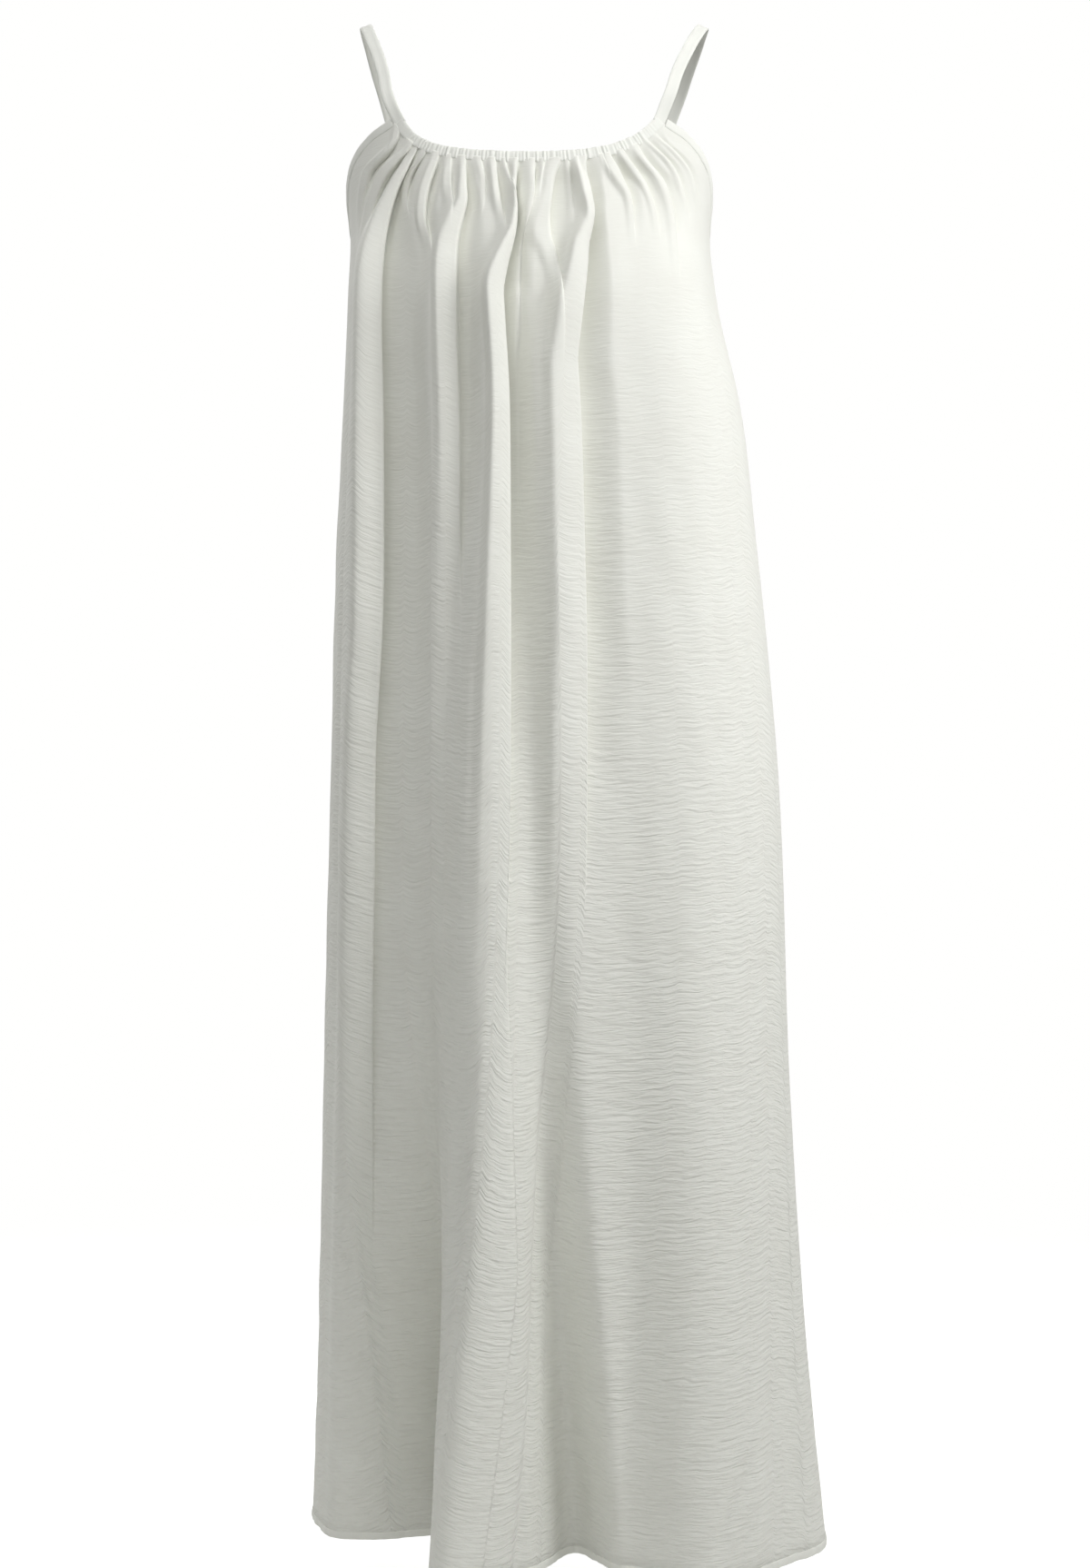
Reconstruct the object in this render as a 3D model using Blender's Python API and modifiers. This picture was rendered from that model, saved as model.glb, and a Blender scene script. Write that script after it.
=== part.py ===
"""Long sundress with a gathered neckline and two thin shoulder straps, as it hangs when worn.

Frame: metres, +Z up. The front faces -Y, and left and right are the wearer's: left is +X. The
origin lies level with the tops of the straps, between them, where the shoulders hold the dress.

The body of the dress is one hollow ring of cloth at every height. The ring is a rounded section
(table SECTIONS) pushed in and out by the folds (tables FRONT_FOLDS and BACK_FOLDS). The front and
back panels and the binding strips are all read from that ring, so that they meet along their
seams, and the straps run on from the ends of the neck bindings.
"""
import math
from collections import namedtuple

import bpy
import numpy as np

COLLECTION = "sundress"

# Driving sizes, in metres
CLOTH = 0.0012
SEAM_GAP = 0.0005
STRAP_GAP = 0.0008
HEM_Z = -1.362
UNDERARM_Z = -0.192

NECK_BINDING_WIDTH = 0.010
NECK_BINDING_THICKNESS = 0.0022
ARM_BINDING_WIDTH = 0.008
ARM_BINDING_THICKNESS = 0.0018
STRAP_WIDTH = 0.011
STRAP_THICKNESS = 0.0018

# The share of a panel's half width that is gathered into the neck binding. The rest is armhole.
NECK_SHARE = 0.80
# How far below the top edge the gathers have fanned out to an even spacing.
GATHER_FADE = 0.22

# Rows of a panel lie closer together near its top edge than near the hem.
ROW_CROWDING = 1.3
# The folds start below the neck binding, grow over this height, and lie flat near the side seams.
FOLD_START_Z = -0.13
FOLD_FADE = 0.12
SEAM_CALM = 0.030
# Half the finished width of a panel near the underarm, which turns a seam's gap into a share.
PANEL_HALF_WIDTH = 0.26

# Columns of a panel that end at its neck binding, and at each armhole binding.
FRONT_NECK_COLUMNS = 33
BACK_NECK_COLUMNS = 25
ARMHOLE_COLUMNS = 8
FRONT_ROWS = 26
BACK_ROWS = 21
STRAP_STEPS = 19

# The ring at each height: how far it reaches to the right, left, front and back, how square it is,
# and how far its right side swings back.
Section = namedtuple("Section", "z right left front back squareness swing")
SECTIONS = (
    Section(z=-0.085, right=0.160, left=0.160, front=0.092, back=0.094, squareness=2.4, swing=0.000),
    Section(z=-0.140, right=0.166, left=0.166, front=0.104, back=0.104, squareness=2.4, swing=0.000),
    Section(z=-0.192, right=0.161, left=0.162, front=0.121, back=0.109, squareness=2.4, swing=0.000),
    Section(z=-0.250, right=0.163, left=0.168, front=0.136, back=0.109, squareness=2.4, swing=0.000),
    Section(z=-0.345, right=0.167, left=0.189, front=0.141, back=0.106, squareness=2.4, swing=0.000),
    Section(z=-0.470, right=0.173, left=0.204, front=0.143, back=0.106, squareness=2.4, swing=0.002),
    Section(z=-0.670, right=0.179, left=0.223, front=0.144, back=0.116, squareness=2.4, swing=0.010),
    Section(z=-0.960, right=0.187, left=0.234, front=0.142, back=0.132, squareness=2.5, swing=0.028),
    Section(z=-1.190, right=0.193, left=0.249, front=0.138, back=0.148, squareness=2.6, swing=0.050),
    Section(z=-1.362, right=0.200, left=0.266, front=0.132, back=0.160, squareness=2.8, swing=0.078),
)

# Heights that the columns top, mid and low of the folds stand for.
FOLD_LEVELS = (-0.30, -0.80, -1.362)
# A fold's place is its distance round the ring from the centre front or centre back, positive to
# the left. Its depth is outwards, so a trough has a negative one. Right and left are how far the
# fold spreads on each side.
Fold = namedtuple(
    "Fold",
    "name at_top at_mid at_low depth_top depth_mid depth_low right_top right_low left_top left_low",
)
FRONT_FOLDS = (
    Fold("side_pipe_right", -0.156, -0.170, -0.196, 0.008, 0.010, 0.012, 0.030, 0.040, 0.026, 0.040),
    Fold("deep_trough_right", -0.108, -0.110, -0.120, -0.012, -0.030, -0.138, 0.034, 0.112, 0.050, 0.046),
    Fold("centre_pipe", -0.024, -0.026, -0.060, 0.012, 0.018, 0.044, 0.048, 0.044, 0.022, 0.072),
    Fold("centre_trough", 0.000, 0.008, 0.042, -0.014, -0.010, -0.072, 0.016, 0.044, 0.024, 0.042),
    Fold("short_pipe", 0.036, 0.036, 0.030, 0.008, 0.004, 0.000, 0.022, 0.030, 0.016, 0.030),
    Fold("trough_left", 0.072, 0.076, 0.086, -0.010, -0.012, -0.004, 0.030, 0.040, 0.036, 0.040),
    Fold("broad_pipe_left", 0.140, 0.150, 0.150, 0.006, 0.012, 0.044, 0.060, 0.072, 0.060, 0.100),
)
BACK_FOLDS = (
    Fold("back_pipe_right", -0.140, -0.146, -0.150, 0.006, 0.012, 0.024, 0.040, 0.050, 0.036, 0.050),
    Fold("back_trough_right", -0.078, -0.082, -0.084, -0.010, -0.018, -0.050, 0.034, 0.050, 0.034, 0.046),
    Fold("back_pipe_centre", -0.010, -0.012, -0.016, 0.010, 0.014, 0.030, 0.040, 0.052, 0.034, 0.050),
    Fold("back_trough_left", 0.058, 0.062, 0.068, -0.010, -0.016, -0.056, 0.030, 0.044, 0.036, 0.050),
    Fold("back_pipe_left", 0.120, 0.134, 0.148, 0.006, 0.012, 0.030, 0.040, 0.052, 0.044, 0.060),
    Fold("back_trough_side", 0.178, 0.196, 0.224, -0.004, -0.008, -0.024, 0.030, 0.040, 0.034, 0.040),
)

# The top edge of a panel: its height at the centre, the gentle rise towards each end of the neck
# binding, the quick rise into the strap, the power of that rise on each side, and where the neck
# binding ends round the ring.
TopEdge = namedtuple("TopEdge", "centre_z gentle_rise quick_rise right_power left_power end_share")
FRONT_TOP = TopEdge(
    centre_z=-0.1450, gentle_rise=0.0150, quick_rise=0.0240, right_power=6, left_power=4, end_share=0.570
)
BACK_TOP = TopEdge(
    centre_z=-0.1640, gentle_rise=0.0140, quick_rise=0.0240, right_power=6, left_power=6, end_share=0.530
)

# The armhole edge from the neck binding (way 0) to the side seam (way 1), as a share of its drop.
# The last row lies past the seam and keeps the underarm round.
ArmholePoint = namedtuple("ArmholePoint", "way drop")
ARMHOLE = (
    ArmholePoint(way=0.00, drop=0.00),
    ArmholePoint(way=0.30, drop=0.16),
    ArmholePoint(way=0.55, drop=0.40),
    ArmholePoint(way=0.75, drop=0.70),
    ArmholePoint(way=0.90, drop=0.95),
    ArmholePoint(way=1.00, drop=1.00),
    ArmholePoint(way=1.10, drop=0.95),
)

# The middle line of the straps, from the front binding up over the shoulder to the back binding.
# The right strap sits a little closer to the neck than the left one.
StrapPoint = namedtuple("StrapPoint", "out_right out_left y z")
STRAP_ROUTE = (
    StrapPoint(out_right=0.1240, out_left=0.1230, y=-0.0705, z=-0.0800),
    StrapPoint(out_right=0.1292, out_left=0.1308, y=-0.0560, z=-0.0550),
    StrapPoint(out_right=0.1390, out_left=0.1445, y=-0.0310, z=-0.0235),
    StrapPoint(out_right=0.1480, out_left=0.1565, y=0.0000, z=-0.0010),
    StrapPoint(out_right=0.1460, out_left=0.1530, y=0.0350, z=-0.0100),
    StrapPoint(out_right=0.1370, out_left=0.1410, y=0.0680, z=-0.0420),
    StrapPoint(out_right=0.1220, out_left=0.1230, y=0.0850, z=-0.0900),
)
# The middle of each shoulder, which the straps turn their inner faces to.
SHOULDER_OUT = 0.100
SHOULDER_Z = -0.130
# How far back into the binding a strap's line is followed, so that it leaves the binding straight.
STRAP_LEAD = 0.020
# Where an armhole binding starts, as a share of the way to the armhole's second column.
ARM_BINDING_START = 0.13

RING_SAMPLES = 241
HEIGHT_SAMPLES = 81
# Step of share and height that a slope of the surface is measured over.
PROBE = 0.002

# Colour (linear), roughness and metallic value of each cloth
CREPE = ("white_crepe", (0.80, 0.80, 0.76, 1.0), 0.85, 0.0)
BINDING = ("white_binding", (0.84, 0.83, 0.79, 1.0), 0.80, 0.0)


# ---------------------------------------------------------------- the ring of cloth

def smooth_through(at, places, values):
    """Values at any place on a smooth curve through the given ones (cubic between neighbours)."""
    places = np.asarray(places, dtype=float)
    values = np.asarray(values, dtype=float)
    slopes = np.gradient(values, places)
    clipped = np.clip(at, places[0], places[-1])
    span = np.clip(np.searchsorted(places, clipped) - 1, 0, len(places) - 2)
    width = places[span + 1] - places[span]
    t = (clipped - places[span]) / width
    rising = t * t * (3.0 - 2.0 * t)
    start_bend = t * (1.0 - t) ** 2
    end_bend = t * t * (t - 1.0)
    level = values[span] * (1.0 - rising) + values[span + 1] * rising
    return level + width * (slopes[span] * start_bend + slopes[span + 1] * end_bend)


def smooth_step(t):
    """0 up to t = 0, 1 from t = 1 on, and a smooth rise between them."""
    t = np.clip(t, 0.0, 1.0)
    return t * t * (3.0 - 2.0 * t)


def section_size(name, z):
    """One column of SECTIONS at the heights z."""
    rows = SECTIONS[::-1]
    return smooth_through(z, [row.z for row in rows], [getattr(row, name) for row in rows])


def fold_size(fold, name, z):
    """A fold's place or depth at the heights z, from its three levels."""
    values = [getattr(fold, name + "_" + level) for level in ("low", "mid", "top")]
    return smooth_through(z, FOLD_LEVELS[::-1], values)


def fold_spread(fold, side, z):
    """How far a fold spreads to one side at the heights z."""
    ends = [getattr(fold, side + "_low"), getattr(fold, side + "_top")]
    return smooth_through(z, [FOLD_LEVELS[-1], FOLD_LEVELS[0]], ends)


def fold_push(folds, along, z):
    """How far the folds push the cloth outwards, at distances along the ring at the height z."""
    push = np.zeros(len(along))
    for fold in folds:
        offset = along - fold_size(fold, "at", z)
        spread = np.where(offset < 0.0, fold_spread(fold, "right", z), fold_spread(fold, "left", z))
        reach = np.clip(np.abs(offset) / spread, 0.0, 1.0)
        push += fold_size(fold, "depth", z) * 0.5 * (1.0 + np.cos(math.pi * reach))
    return push * smooth_step((FOLD_START_Z - z) / FOLD_FADE)


def length_along(x, y):
    """The distance along a line of points, from its first point."""
    return np.concatenate(([0.0], np.cumsum(np.hypot(np.diff(x), np.diff(y)))))


def half_ring(z, front):
    """The front or back half of the ring at the height z, evenly spaced from -X to +X.

    The plain half is x = side * sin^p, y = depth * cos^p, with p = 2 / squareness, and its right
    side swings back. The folds push it along its outward normal, and lie flat at the side seams.
    """
    facing = -1.0 if front else 1.0
    angle = np.linspace(-0.5 * math.pi, 0.5 * math.pi, RING_SAMPLES)
    power = 2.0 / section_size("squareness", z)
    side = np.where(angle < 0.0, section_size("right", z), section_size("left", z))
    x = side * np.sign(angle) * np.abs(np.sin(angle)) ** power
    y = facing * section_size("front" if front else "back", z) * np.abs(np.cos(angle)) ** power
    y += section_size("swing", z) * np.clip(-x / section_size("right", z), 0.0, 1.0) ** 2
    along = length_along(x, y)
    even = np.linspace(0.0, along[-1], RING_SAMPLES)
    x = np.interp(even, along, x)
    y = np.interp(even, along, y)
    normal_x = -facing * np.gradient(y)
    normal_y = facing * np.gradient(x)
    normal_length = np.hypot(normal_x, normal_y)
    centre = np.interp(0.0, x, even)
    to_seam = np.minimum(even, along[-1] - even)
    push = fold_push(FRONT_FOLDS if front else BACK_FOLDS, even - centre, z)
    push = push * smooth_step(to_seam / SEAM_CALM)
    return x + push * normal_x / normal_length, y + push * normal_y / normal_length


def ring_table(front):
    """The half ring at every height, evenly spaced along the folded cloth."""
    heights = np.linspace(HEM_Z, SECTIONS[0].z, HEIGHT_SAMPLES)
    share = np.linspace(0.0, 1.0, RING_SAMPLES)
    table = np.empty((HEIGHT_SAMPLES, RING_SAMPLES, 2))
    for row, z in enumerate(heights):
        x, y = half_ring(z, front)
        along = length_along(x, y)
        table[row, :, 0] = np.interp(share * along[-1], along, x)
        table[row, :, 1] = np.interp(share * along[-1], along, y)
    return table


def on_ring(table, share, z):
    """Points on the cloth at a share (-1 at the -X seam, +1 at the +X seam) and a height."""
    column = np.clip(0.5 * (share + 1.0), 0.0, 1.0) * (RING_SAMPLES - 1)
    row = np.clip((z - HEM_Z) / (SECTIONS[0].z - HEM_Z), 0.0, 1.0) * (HEIGHT_SAMPLES - 1)
    left = np.minimum(column.astype(int), RING_SAMPLES - 2)
    below = np.minimum(row.astype(int), HEIGHT_SAMPLES - 2)
    across = (column - left)[..., None]
    up = (row - below)[..., None]
    low = table[below, left] * (1.0 - across) + table[below, left + 1] * across
    high = table[below + 1, left] * (1.0 - across) + table[below + 1, left + 1] * across
    flat = low * (1.0 - up) + high * up
    return np.concatenate((flat, z[..., None]), axis=-1)


# ---------------------------------------------------------------- the edges of the panels

def top_share(top, s):
    """Where the top edge lies round the ring, for the share s of the panel's own width."""
    way = np.clip((np.abs(s) - NECK_SHARE) / (1.0 - NECK_SHARE), 0.0, 1.0)
    neck = np.minimum(np.abs(s) / NECK_SHARE, 1.0) * top.end_share
    return np.sign(s) * (neck + (1.0 - top.end_share) * way)


def top_height(top, s):
    """The height of the top edge: a shallow bowl under the neck binding, then the armhole."""
    neck = np.minimum(np.abs(s) / NECK_SHARE, 1.0)
    power = np.where(s < 0.0, top.right_power, top.left_power)
    bowl = top.centre_z + top.gentle_rise * neck ** 2 + top.quick_rise * neck ** power
    way = (np.abs(s) - NECK_SHARE) / (1.0 - NECK_SHARE)
    drop = smooth_through(np.maximum(way, 0.0), [row.way for row in ARMHOLE], [row.drop for row in ARMHOLE])
    return bowl + (UNDERARM_Z - bowl) * drop


def panel_columns(neck_columns):
    """Where a panel's columns end at its top edge: on one armhole, the neck and the other one."""
    armhole = np.linspace(NECK_SHARE, 1.0, ARMHOLE_COLUMNS + 1)[1:]
    neck = np.linspace(-NECK_SHARE, NECK_SHARE, neck_columns)
    return np.concatenate((-armhole[::-1], neck, armhole))


def panel_points(table, top, neck_columns, rows):
    """A panel's grid of points, from its top edge down to the hem."""
    s = panel_columns(neck_columns)[None, :]
    at_hem = np.linspace(-1.0, 1.0, s.size)[None, :]
    v = np.linspace(0.0, 1.0, rows)[:, None] ** ROW_CROWDING
    start_z = top_height(top, s)
    z = start_z + (HEM_Z - start_z) * v
    fan = smooth_step((start_z - z) / GATHER_FADE)
    share = top_share(top, s) * (1.0 - fan) + at_hem * fan
    seam = SEAM_GAP / (2.0 * PANEL_HALF_WIDTH)
    return on_ring(table, share * (1.0 - seam), z)


def edge_strip(table, top, s):
    """Points along the top edge, with the cloth's outward normal and the way up off the panel."""
    share = top_share(top, s)
    z = top_height(top, s)
    points = on_ring(table, share, z)
    along = np.gradient(points, axis=0)
    rise = on_ring(table, share, z + PROBE) - on_ring(table, share, z - PROBE)
    round_ring = on_ring(table, share + PROBE, z) - on_ring(table, share - PROBE, z)
    normal = unit(np.cross(round_ring, rise))
    normal *= np.sign(np.sum(normal[:, :2] * points[:, :2], axis=1, keepdims=True))
    up = unit(np.cross(normal, along))
    up *= np.sign(up[:, 2:3])
    return points, normal, up


def unit(vectors):
    """The vectors at length 1."""
    return vectors / np.linalg.norm(vectors, axis=-1, keepdims=True)


# ---------------------------------------------------------------- strips of binding and straps

def neck_line(table, top, neck_columns):
    """The middle line of a neck binding, which lies on the panel's top edge."""
    s = np.linspace(-NECK_SHARE, NECK_SHARE, neck_columns)
    points, normal, up = edge_strip(table, top, s)
    return points + up * (SEAM_GAP + 0.5 * NECK_BINDING_WIDTH), normal, up


def arm_line(front_table, back_table, side):
    """The middle line of an armhole binding: down the front panel's edge and up the back one's."""
    s = side * np.linspace(NECK_SHARE, 1.0, ARMHOLE_COLUMNS + 1)
    edges = []
    for table, top in ((front_table, FRONT_TOP), (back_table, BACK_TOP)):
        edge = np.stack(edge_strip(table, top, s))
        edge[:, 0] += (edge[:, 1] - edge[:, 0]) * ARM_BINDING_START
        edges.append(edge)
    points, normal, up = np.concatenate((edges[0], edges[1][:, -2::-1]), axis=1)
    return points + up * (SEAM_GAP + 0.5 * ARM_BINDING_WIDTH), normal, up


def strap_line(front_neck, back_neck, side):
    """A strap's middle line: from the front binding's end, over the shoulder, to the back one's."""
    last = -1 if side > 0 else 0
    beside = -2 if side > 0 else 1
    route = []
    normals = []
    headings = []
    for middle, normal, up in (front_neck, back_neck):
        heading = unit(np.cross(up[last], normal[last]))
        heading *= np.sign(np.dot(heading, middle[last] - middle[beside]))
        headings.append(heading)
        route.append([middle[last] - heading * STRAP_LEAD, middle[last] + heading * STRAP_GAP])
        normals.append([normal[last], normal[last]])
    shoulder = np.array((side * SHOULDER_OUT, 0.0, SHOULDER_Z))
    out = "out_left" if side > 0 else "out_right"
    over = np.array([(side * getattr(row, out), row.y, row.z) for row in STRAP_ROUTE])
    points = np.concatenate((route[0], over, route[1][::-1]))
    facing = np.concatenate((normals[0], unit(over - shoulder), normals[1][::-1]))
    way = np.concatenate(([0.0], np.cumsum(np.linalg.norm(np.diff(points, axis=0), axis=1))))
    at = np.linspace(way[1], way[-2], STRAP_STEPS)
    middle = np.stack([smooth_through(at, way, points[:, axis]) for axis in range(3)], axis=-1)
    facing = np.stack([smooth_through(at, way, facing[:, axis]) for axis in range(3)], axis=-1)
    along = unit(np.gradient(middle, axis=0))
    along[0] = headings[0]
    along[-1] = -headings[1]
    across = unit(np.cross(along, facing))
    return middle, unit(np.cross(across, along)), across


# ---------------------------------------------------------------- objects

def cloth_material(name, colour, roughness, metallic):
    """A plain cloth of one colour."""
    material = bpy.data.materials.new(name)
    material.use_nodes = True
    shader = material.node_tree.nodes["Principled BSDF"]
    shader.inputs["Base Color"].default_value = colour
    shader.inputs["Roughness"].default_value = roughness
    shader.inputs["Metallic"].default_value = metallic
    return material


def cloth_object(name, points, thickness, material, collection):
    """A cloth wall round a grid of points (rows, columns, 3), half of its thickness on each side."""
    rows, columns = points.shape[:2]
    index = np.arange(rows * columns).reshape(rows, columns)
    quads = np.stack((index[:-1, :-1], index[1:, :-1], index[1:, 1:], index[:-1, 1:]), axis=-1)
    mesh = bpy.data.meshes.new(name)
    mesh.from_pydata(points.reshape(-1, 3).tolist(), [], quads.reshape(-1, 4).tolist())
    mesh.materials.append(material)
    mesh.shade_smooth()
    cloth = bpy.data.objects.new(name, mesh)
    collection.objects.link(cloth)
    split = cloth.modifiers.new("Triangulate", "TRIANGULATE")
    split.quad_method = "FIXED"
    wall = cloth.modifiers.new("Solidify", "SOLIDIFY")
    wall.thickness = thickness
    wall.offset = 0.0
    return cloth


def strip_object(name, line, width, thickness, material, collection):
    """A flat strip of cloth along a middle line, with its face turned to the line's normal."""
    middle, _, across = line
    edges = np.stack((middle + across * 0.5 * width, middle - across * 0.5 * width))
    return cloth_object(name, edges, thickness, material, collection)


def clear_scene():
    """Remove every object that is there."""
    for thing in list(bpy.data.objects):
        bpy.data.objects.remove(thing, do_unlink=True)


def build_sundress():
    """Make every piece of the dress in its own collection."""
    clear_scene()
    collection = bpy.data.collections.new(COLLECTION)
    bpy.context.scene.collection.children.link(collection)
    crepe = cloth_material(*CREPE)
    binding = cloth_material(*BINDING)
    front = ring_table(front=True)
    back = ring_table(front=False)

    front_panel = panel_points(front, FRONT_TOP, FRONT_NECK_COLUMNS, FRONT_ROWS)
    back_panel = panel_points(back, BACK_TOP, BACK_NECK_COLUMNS, BACK_ROWS)
    cloth_object("front_panel", front_panel, CLOTH, crepe, collection)
    cloth_object("back_panel", back_panel[:, ::-1], CLOTH, crepe, collection)

    front_neck = neck_line(front, FRONT_TOP, FRONT_NECK_COLUMNS)
    back_neck = neck_line(back, BACK_TOP, BACK_NECK_COLUMNS)
    neck_size = (NECK_BINDING_WIDTH, NECK_BINDING_THICKNESS)
    strip_object("front_neck_binding", front_neck, *neck_size, binding, collection)
    strip_object("back_neck_binding", back_neck, *neck_size, binding, collection)

    arm_size = (ARM_BINDING_WIDTH, ARM_BINDING_THICKNESS)
    strap_size = (STRAP_WIDTH, STRAP_THICKNESS)
    for side, hand in ((1, "left"), (-1, "right")):
        arm = arm_line(front, back, side)
        strip_object("armhole_binding_" + hand, arm, *arm_size, binding, collection)
        strap = strap_line(front_neck, back_neck, side)
        strip_object("strap_" + hand, strap, *strap_size, binding, collection)


build_sundress()
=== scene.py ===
"""A white crepe sundress, hollow as if worn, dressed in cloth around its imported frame.

Two gathered panels hang from narrow neck bindings and two straps. Every length is in metres, +Z is
up, the front faces -Y and the wearer's left is +X. The origin is between the tops of the shoulders.
"""

import logging
import math
from dataclasses import dataclass, field
from enum import Enum

import bpy
import numpy as np
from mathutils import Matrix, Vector


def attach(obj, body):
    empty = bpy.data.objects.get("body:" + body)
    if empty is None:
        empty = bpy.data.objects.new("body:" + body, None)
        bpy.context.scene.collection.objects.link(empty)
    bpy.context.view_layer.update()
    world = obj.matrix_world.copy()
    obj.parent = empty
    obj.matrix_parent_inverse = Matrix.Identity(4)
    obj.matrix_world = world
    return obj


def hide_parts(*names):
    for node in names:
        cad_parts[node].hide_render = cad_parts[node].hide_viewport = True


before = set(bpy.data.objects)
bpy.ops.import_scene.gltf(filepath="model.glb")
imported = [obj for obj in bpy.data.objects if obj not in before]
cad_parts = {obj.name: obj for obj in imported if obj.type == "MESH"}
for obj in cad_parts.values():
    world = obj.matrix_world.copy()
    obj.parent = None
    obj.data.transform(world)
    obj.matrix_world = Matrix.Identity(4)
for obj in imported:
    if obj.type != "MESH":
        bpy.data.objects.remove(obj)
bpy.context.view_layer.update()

log = logging.getLogger("sundress")

SEED = 20
HEM_Z = -1.362
UNDERARM_Z = -0.192
NECK_SHARE = 0.80
CLOTH_UV = "cloth"
MILLIMETRE = 0.001
TINY = 1e-12
NOISE_WAVES = 5
NOISE_SPREAD = (0.6, 1.7)
NOISE_PEAK = 3.2
EDGE_POWER = 0.55
FACE_POWER = 0.70
DENT_REACH = 0.16


# ---------------------------------------------------------------- sizes and tables


class Side(Enum):
    """Which half of the dress a piece belongs to."""

    FRONT = "front"
    BACK = "back"

    @property
    def facing(self) -> float:
        """-1 where the cloth faces -Y, 1 where it faces +Y."""
        return -1.0 if self is Side.FRONT else 1.0


class Hand(Enum):
    """The wearer's right or left."""

    RIGHT = "right"
    LEFT = "left"

    @property
    def sign(self) -> float:
        """The sign of X on this side."""
        return -1.0 if self is Hand.RIGHT else 1.0


class Unevenness(Enum):
    """The places where the cloth is a little uneven, each with a noise of its own."""

    RIPPLE_ACROSS = 3
    RIPPLE_DOWN = 4
    NECK_PUCKER = 7
    NECK_WANDER = 8
    ARMHOLE = 11
    STRAP = 13
    HEM_PUCKER = 17
    HEM_WANDER = 18


@dataclass(frozen=True)
class Section:
    """The dress's plain outline at one height: half widths, depths, squareness and swing back."""

    z: float
    right: float
    left: float
    front: float
    back: float
    squareness: float
    swing: float


@dataclass(frozen=True)
class Fold:
    """A soft pipe (deeper than 0) or trough (less than 0) at three heights, by distance round."""

    at: tuple[float, float, float]
    depth: tuple[float, float, float]
    right: tuple[float, float]
    left: tuple[float, float]


@dataclass(frozen=True)
class Crease:
    """A pleat's edge, followed from the top down. Every length is in millimetres.

    At each height z the edge lies at x. Past it the cloth drops by the depth, and comes back out
    along the slope. The lip before the edge laps over by a share of the depth. A pipe stands
    forwards before the edge, by its own height and over its own width.
    """

    z: tuple[float, ...]
    x: tuple[float, ...]
    depth: tuple[float, ...]
    slope: tuple[float, ...]
    lap: float = 0.35
    pipe: tuple[float, ...] = (0, 0)
    pipe_width: tuple[float, ...] = (20, 20)
    pipe_z: tuple[float, ...] = (-100, -1362)

    def at(self, name: str, z: np.ndarray) -> np.ndarray:
        """One of the crease's sizes at the heights z, in metres."""
        places = self.pipe_z if name.startswith("pipe") else self.z
        return smooth_through(z / MILLIMETRE, places, getattr(self, name)) * MILLIMETRE


@dataclass(frozen=True)
class Dent:
    """A short slanting crease from one X and Z to another, with its depth and half width."""

    start: tuple[float, float]
    end: tuple[float, float]
    depth: float
    width: float


@dataclass(frozen=True)
class TopEdge:
    """The bowl of a panel's neck edge and how far round the ring the neck reaches."""

    centre_z: float
    gentle_rise: float
    quick_rise: float
    right_power: float
    left_power: float
    end_share: float


@dataclass(frozen=True)
class StrapAt:
    """A point that a strap passes through: how far out on each side, and Y and Z."""

    out_right: float
    out_left: float
    y: float
    z: float


SECTIONS = (
    Section(-0.085, 0.160, 0.160, 0.092, 0.094, 2.4, 0.000),
    Section(-0.140, 0.166, 0.166, 0.104, 0.104, 2.4, 0.000),
    Section(-0.192, 0.161, 0.162, 0.121, 0.109, 2.4, 0.000),
    Section(-0.250, 0.163, 0.168, 0.136, 0.109, 2.4, 0.000),
    Section(-0.345, 0.167, 0.189, 0.141, 0.106, 2.4, 0.000),
    Section(-0.470, 0.173, 0.204, 0.143, 0.106, 2.4, 0.002),
    Section(-0.670, 0.179, 0.223, 0.144, 0.116, 2.4, 0.010),
    Section(-0.960, 0.187, 0.234, 0.142, 0.132, 2.5, 0.028),
    Section(-1.190, 0.193, 0.249, 0.138, 0.148, 2.6, 0.050),
    Section(-1.362, 0.200, 0.266, 0.132, 0.160, 2.8, 0.078),
)
FOLD_LEVELS = (-0.30, -0.80, -1.362)
FOLD_START_Z = -0.13
FOLD_FADE = 0.12
SEAM_CALM = 0.030

FRONT_FOLDS = (
    Fold((-0.156, -0.170, -0.196), (0.008, 0.010, 0.012), (0.030, 0.040), (0.026, 0.040)),
    Fold((-0.108, -0.110, -0.120), (-0.006, -0.016, -0.138), (0.034, 0.112), (0.050, 0.046)),
    Fold((-0.024, -0.026, -0.060), (0.003, 0.012, 0.044), (0.048, 0.044), (0.022, 0.072)),
    Fold((0.000, 0.008, 0.042), (-0.001, -0.004, -0.072), (0.016, 0.044), (0.024, 0.042)),
    Fold((0.036, 0.036, 0.030), (0.001, 0.001, 0.000), (0.022, 0.030), (0.016, 0.030)),
    Fold((0.072, 0.076, 0.086), (0.000, -0.002, -0.002), (0.030, 0.040), (0.036, 0.040)),
    Fold((0.140, 0.150, 0.150), (0.006, 0.010, 0.040), (0.060, 0.072), (0.060, 0.100)),
)
BACK_FOLDS = (
    Fold((-0.140, -0.146, -0.150), (0.006, 0.012, 0.024), (0.040, 0.050), (0.036, 0.050)),
    Fold((-0.078, -0.082, -0.084), (-0.010, -0.018, -0.050), (0.034, 0.050), (0.034, 0.046)),
    Fold((-0.010, -0.012, -0.016), (0.010, 0.014, 0.030), (0.040, 0.052), (0.034, 0.050)),
    Fold((0.058, 0.062, 0.068), (-0.010, -0.016, -0.056), (0.030, 0.044), (0.036, 0.050)),
    Fold((0.120, 0.134, 0.148), (0.006, 0.012, 0.030), (0.040, 0.052), (0.044, 0.060)),
    Fold((0.178, 0.196, 0.224), (-0.004, -0.008, -0.024), (0.030, 0.040), (0.034, 0.040)),
)
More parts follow.
